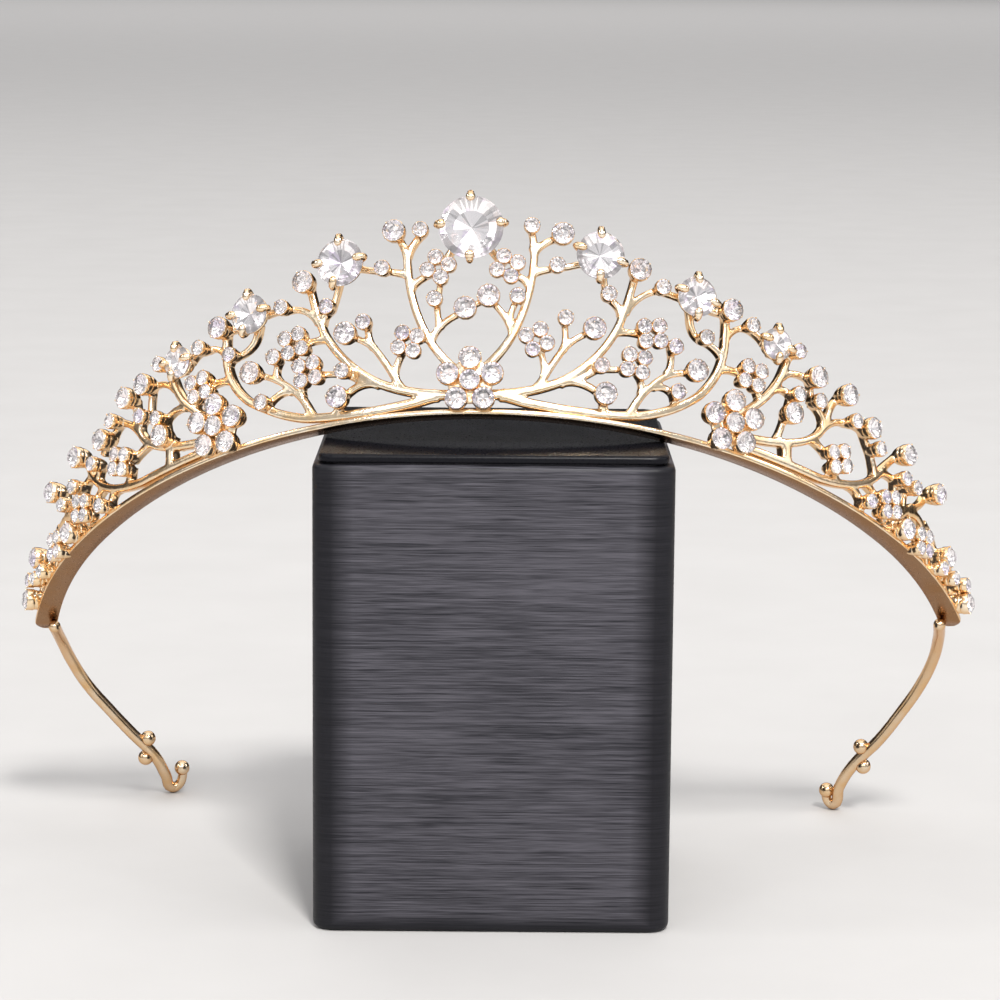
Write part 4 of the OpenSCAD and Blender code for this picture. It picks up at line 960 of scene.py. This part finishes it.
def roundedBox(low, high, width, corner):
    bm = bmesh.new()
    place = Matrix.Translation((0, 0, (low + high) / 2)) @ Matrix.Diagonal((width, width, high - low, 1))
    bmesh.ops.create_cube(bm, size=1, matrix=place)
    upright = [e for e in bm.edges if abs(e.verts[0].co.z - e.verts[1].co.z) > 0.1]
    bmesh.ops.bevel(bm, geom=upright, offset=corner, offset_type="OFFSET", affect="EDGES", segments=8,
                    profile=0.5, material=-1)
    return bm


def rollEdge(bm, z, offset, segments):  # rounds the level edges at height z
    bm.normal_update()
    level = [e for e in bm.edges if all(abs(v.co.z - z) < 0.01 for v in e.verts) and len(e.link_faces) == 2
             and abs(e.link_faces[0].normal.z - e.link_faces[1].normal.z) > 0.5]
    bmesh.ops.bevel(bm, geom=level, offset=offset, offset_type="OFFSET", affect="EDGES", segments=segments,
                    profile=0.5, material=-1)


seamZ = block["height"] - block["seamDrop"]
bodyTop, lidFoot = seamZ - block["seamGap"] / 2, seamZ + block["seamGap"] / 2
body = roundedBox(0, bodyTop, block["width"], block["corner"])
rollEdge(body, 0, block["foot"], 4)
rollEdge(body, bodyTop, block["bodyRoll"], 4)
lidWidth = block["width"] - 2 * block["lidIn"]
lid = roundedBox(lidFoot, block["height"], lidWidth, block["corner"] - block["lidIn"])
rollEdge(lid, block["height"], block["roll"], 6)
rollEdge(lid, lidFoot, block["lidFootRoll"], 6)
for face in lid.faces:
    face.material_index = 1
core = roundedBox(seamZ - block["coreDown"], seamZ + block["coreUp"], lidWidth - 2 * block["coreIn"],
                  block["corner"] - block["coreIn"])
for part in (lid, core):
    addTo(body, part)
finish(body, "wrappedBlock", [wrap, lidWrap], node="display_block", angle=35)

# floor, light and camera: all in metres but the camera's place
floorLook = {
    "size": 60, "patchSize": (30, 30, 30),
    "tones": [(0.3, (0.46, 0.452, 0.447)), (0.7, (0.48, 0.472, 0.467))],
}
bpy.ops.mesh.primitive_plane_add(size=floorLook["size"])
floor = bpy.context.object
floor.name = "floor"
paleFloor, nodes, links, shader = newMaterial("paleFloor", Roughness=0.7)
patches = objectNoise(nodes, links, floorLook["patchSize"])
links.new(ramp(nodes, links, patches, floorLook["tones"]), shader.inputs["Base Color"])
floor.data.materials.append(paleFloor)

# studio: bright in front and above, dim at the sides, dark behind
studio = {
    "brightFrom": (0, -0.8, 0.6), "reach": (-0.6, 1.0),
    "steps": [(0.0, (0.012, 0.012, 0.014)), (0.28, (0.05, 0.05, 0.055)), (0.42, (0.24, 0.24, 0.25)),
              (0.7, (0.38, 0.38, 0.39)), (1.0, (0.55, 0.55, 0.57))],
}
world = bpy.data.worlds.new("studio")
bpy.context.scene.world = world
world.use_nodes = True
nodes, links = world.node_tree.nodes, world.node_tree.links
direction = nodes.new("ShaderNodeTexCoord")
facing = nodes.new("ShaderNodeVectorMath")
facing.operation = "DOT_PRODUCT"
facing.inputs[1].default_value = studio["brightFrom"]
links.new(direction.outputs["Generated"], facing.inputs[0])
share = remap(nodes, links, facing.outputs["Value"], 0.0, 1.0, *studio["reach"])
links.new(ramp(nodes, links, share, studio["steps"]), nodes["Background"].inputs["Color"])

aim, farAim = (0, 0.01, 0.07), (0, 9, 0)  # the tiara, and the floor far behind it
warmWhite, softWhite, white = (1.0, 0.98, 0.95), (1.0, 0.99, 0.98), (1, 1, 1)
lamps = [  # name, target, azimuth from the viewer's side, elevation, distance, width, height, watts, colour
    ("key", aim, 14, 48, 4.5, 0.7, 0.7, 225, warmWhite),
    ("frontSoftbox", aim, -2, 31, 3.0, 3.4, 0.9, 19, softWhite),
    ("leftSoftbox", aim, -74, 28, 3.0, 1.5, 1.5, 7, softWhite),
    ("rightSoftbox", aim, 74, 28, 3.0, 1.5, 1.5, 7, softWhite),
    ("farSoftbox", farAim, 0, 90, 6.0, 12.0, 8.0, 560, softWhite),
    ("topSoftbox", aim, 0, 92, 3.0, 3.2, 3.2, 36, softWhite),
    ("sparkleA", aim, -38, 40, 3.0, 0.2, 0.2, 5, white),
    ("sparkleB", aim, 48, 46, 3.0, 0.2, 0.2, 5, white),
    ("sparkleC", aim, -85, 38, 3.0, 0.3, 0.3, 7, white),
    ("sparkleD", aim, 88, 34, 3.0, 0.3, 0.3, 7, white),
]
for name, target, azimuth, elevation, distance, width, height, watts, colour in lamps:
    light = bpy.data.lights.new(name, "AREA")
    light.shape, light.size, light.size_y = "RECTANGLE", width, height
    light.energy, light.color = watts, colour
    lamp = bpy.data.objects.new(name, light)
    az, el = radians(azimuth), radians(elevation)
    lamp.location = Vector(target) + distance * Vector((sin(az) * cos(el), -cos(az) * cos(el), sin(el)))
    lamp.rotation_euler = (Vector(target) - lamp.location).to_track_quat("-Z", "Y").to_euler()
    bpy.context.scene.collection.objects.link(lamp)

view = {
    "place": (0.95, -512.5, 148.0), "pitch": 9.42, "roll": 0.45,  # mm and degrees
    "lens": 117.65, "sensor": 36.0, "clip": (0.01, 100),
}
camera = bpy.data.cameras.new("camera")
camera.lens, camera.sensor_width = view["lens"], view["sensor"]
camera.clip_start, camera.clip_end = view["clip"]
cameraObject = bpy.data.objects.new("camera", camera)
cameraObject.matrix_world = (Matrix.Translation(Vector(view["place"]) * 0.001)
                             @ Matrix.Rotation(radians(90 - view["pitch"]), 4, "X")
                             @ Matrix.Rotation(radians(view["roll"]), 4, "Z"))
bpy.context.scene.collection.objects.link(cameraObject)
bpy.context.scene.camera = cameraObject
bpy.context.scene.view_settings.view_transform = "Standard"

bpy.context.view_layer.update()
print("scene ready")
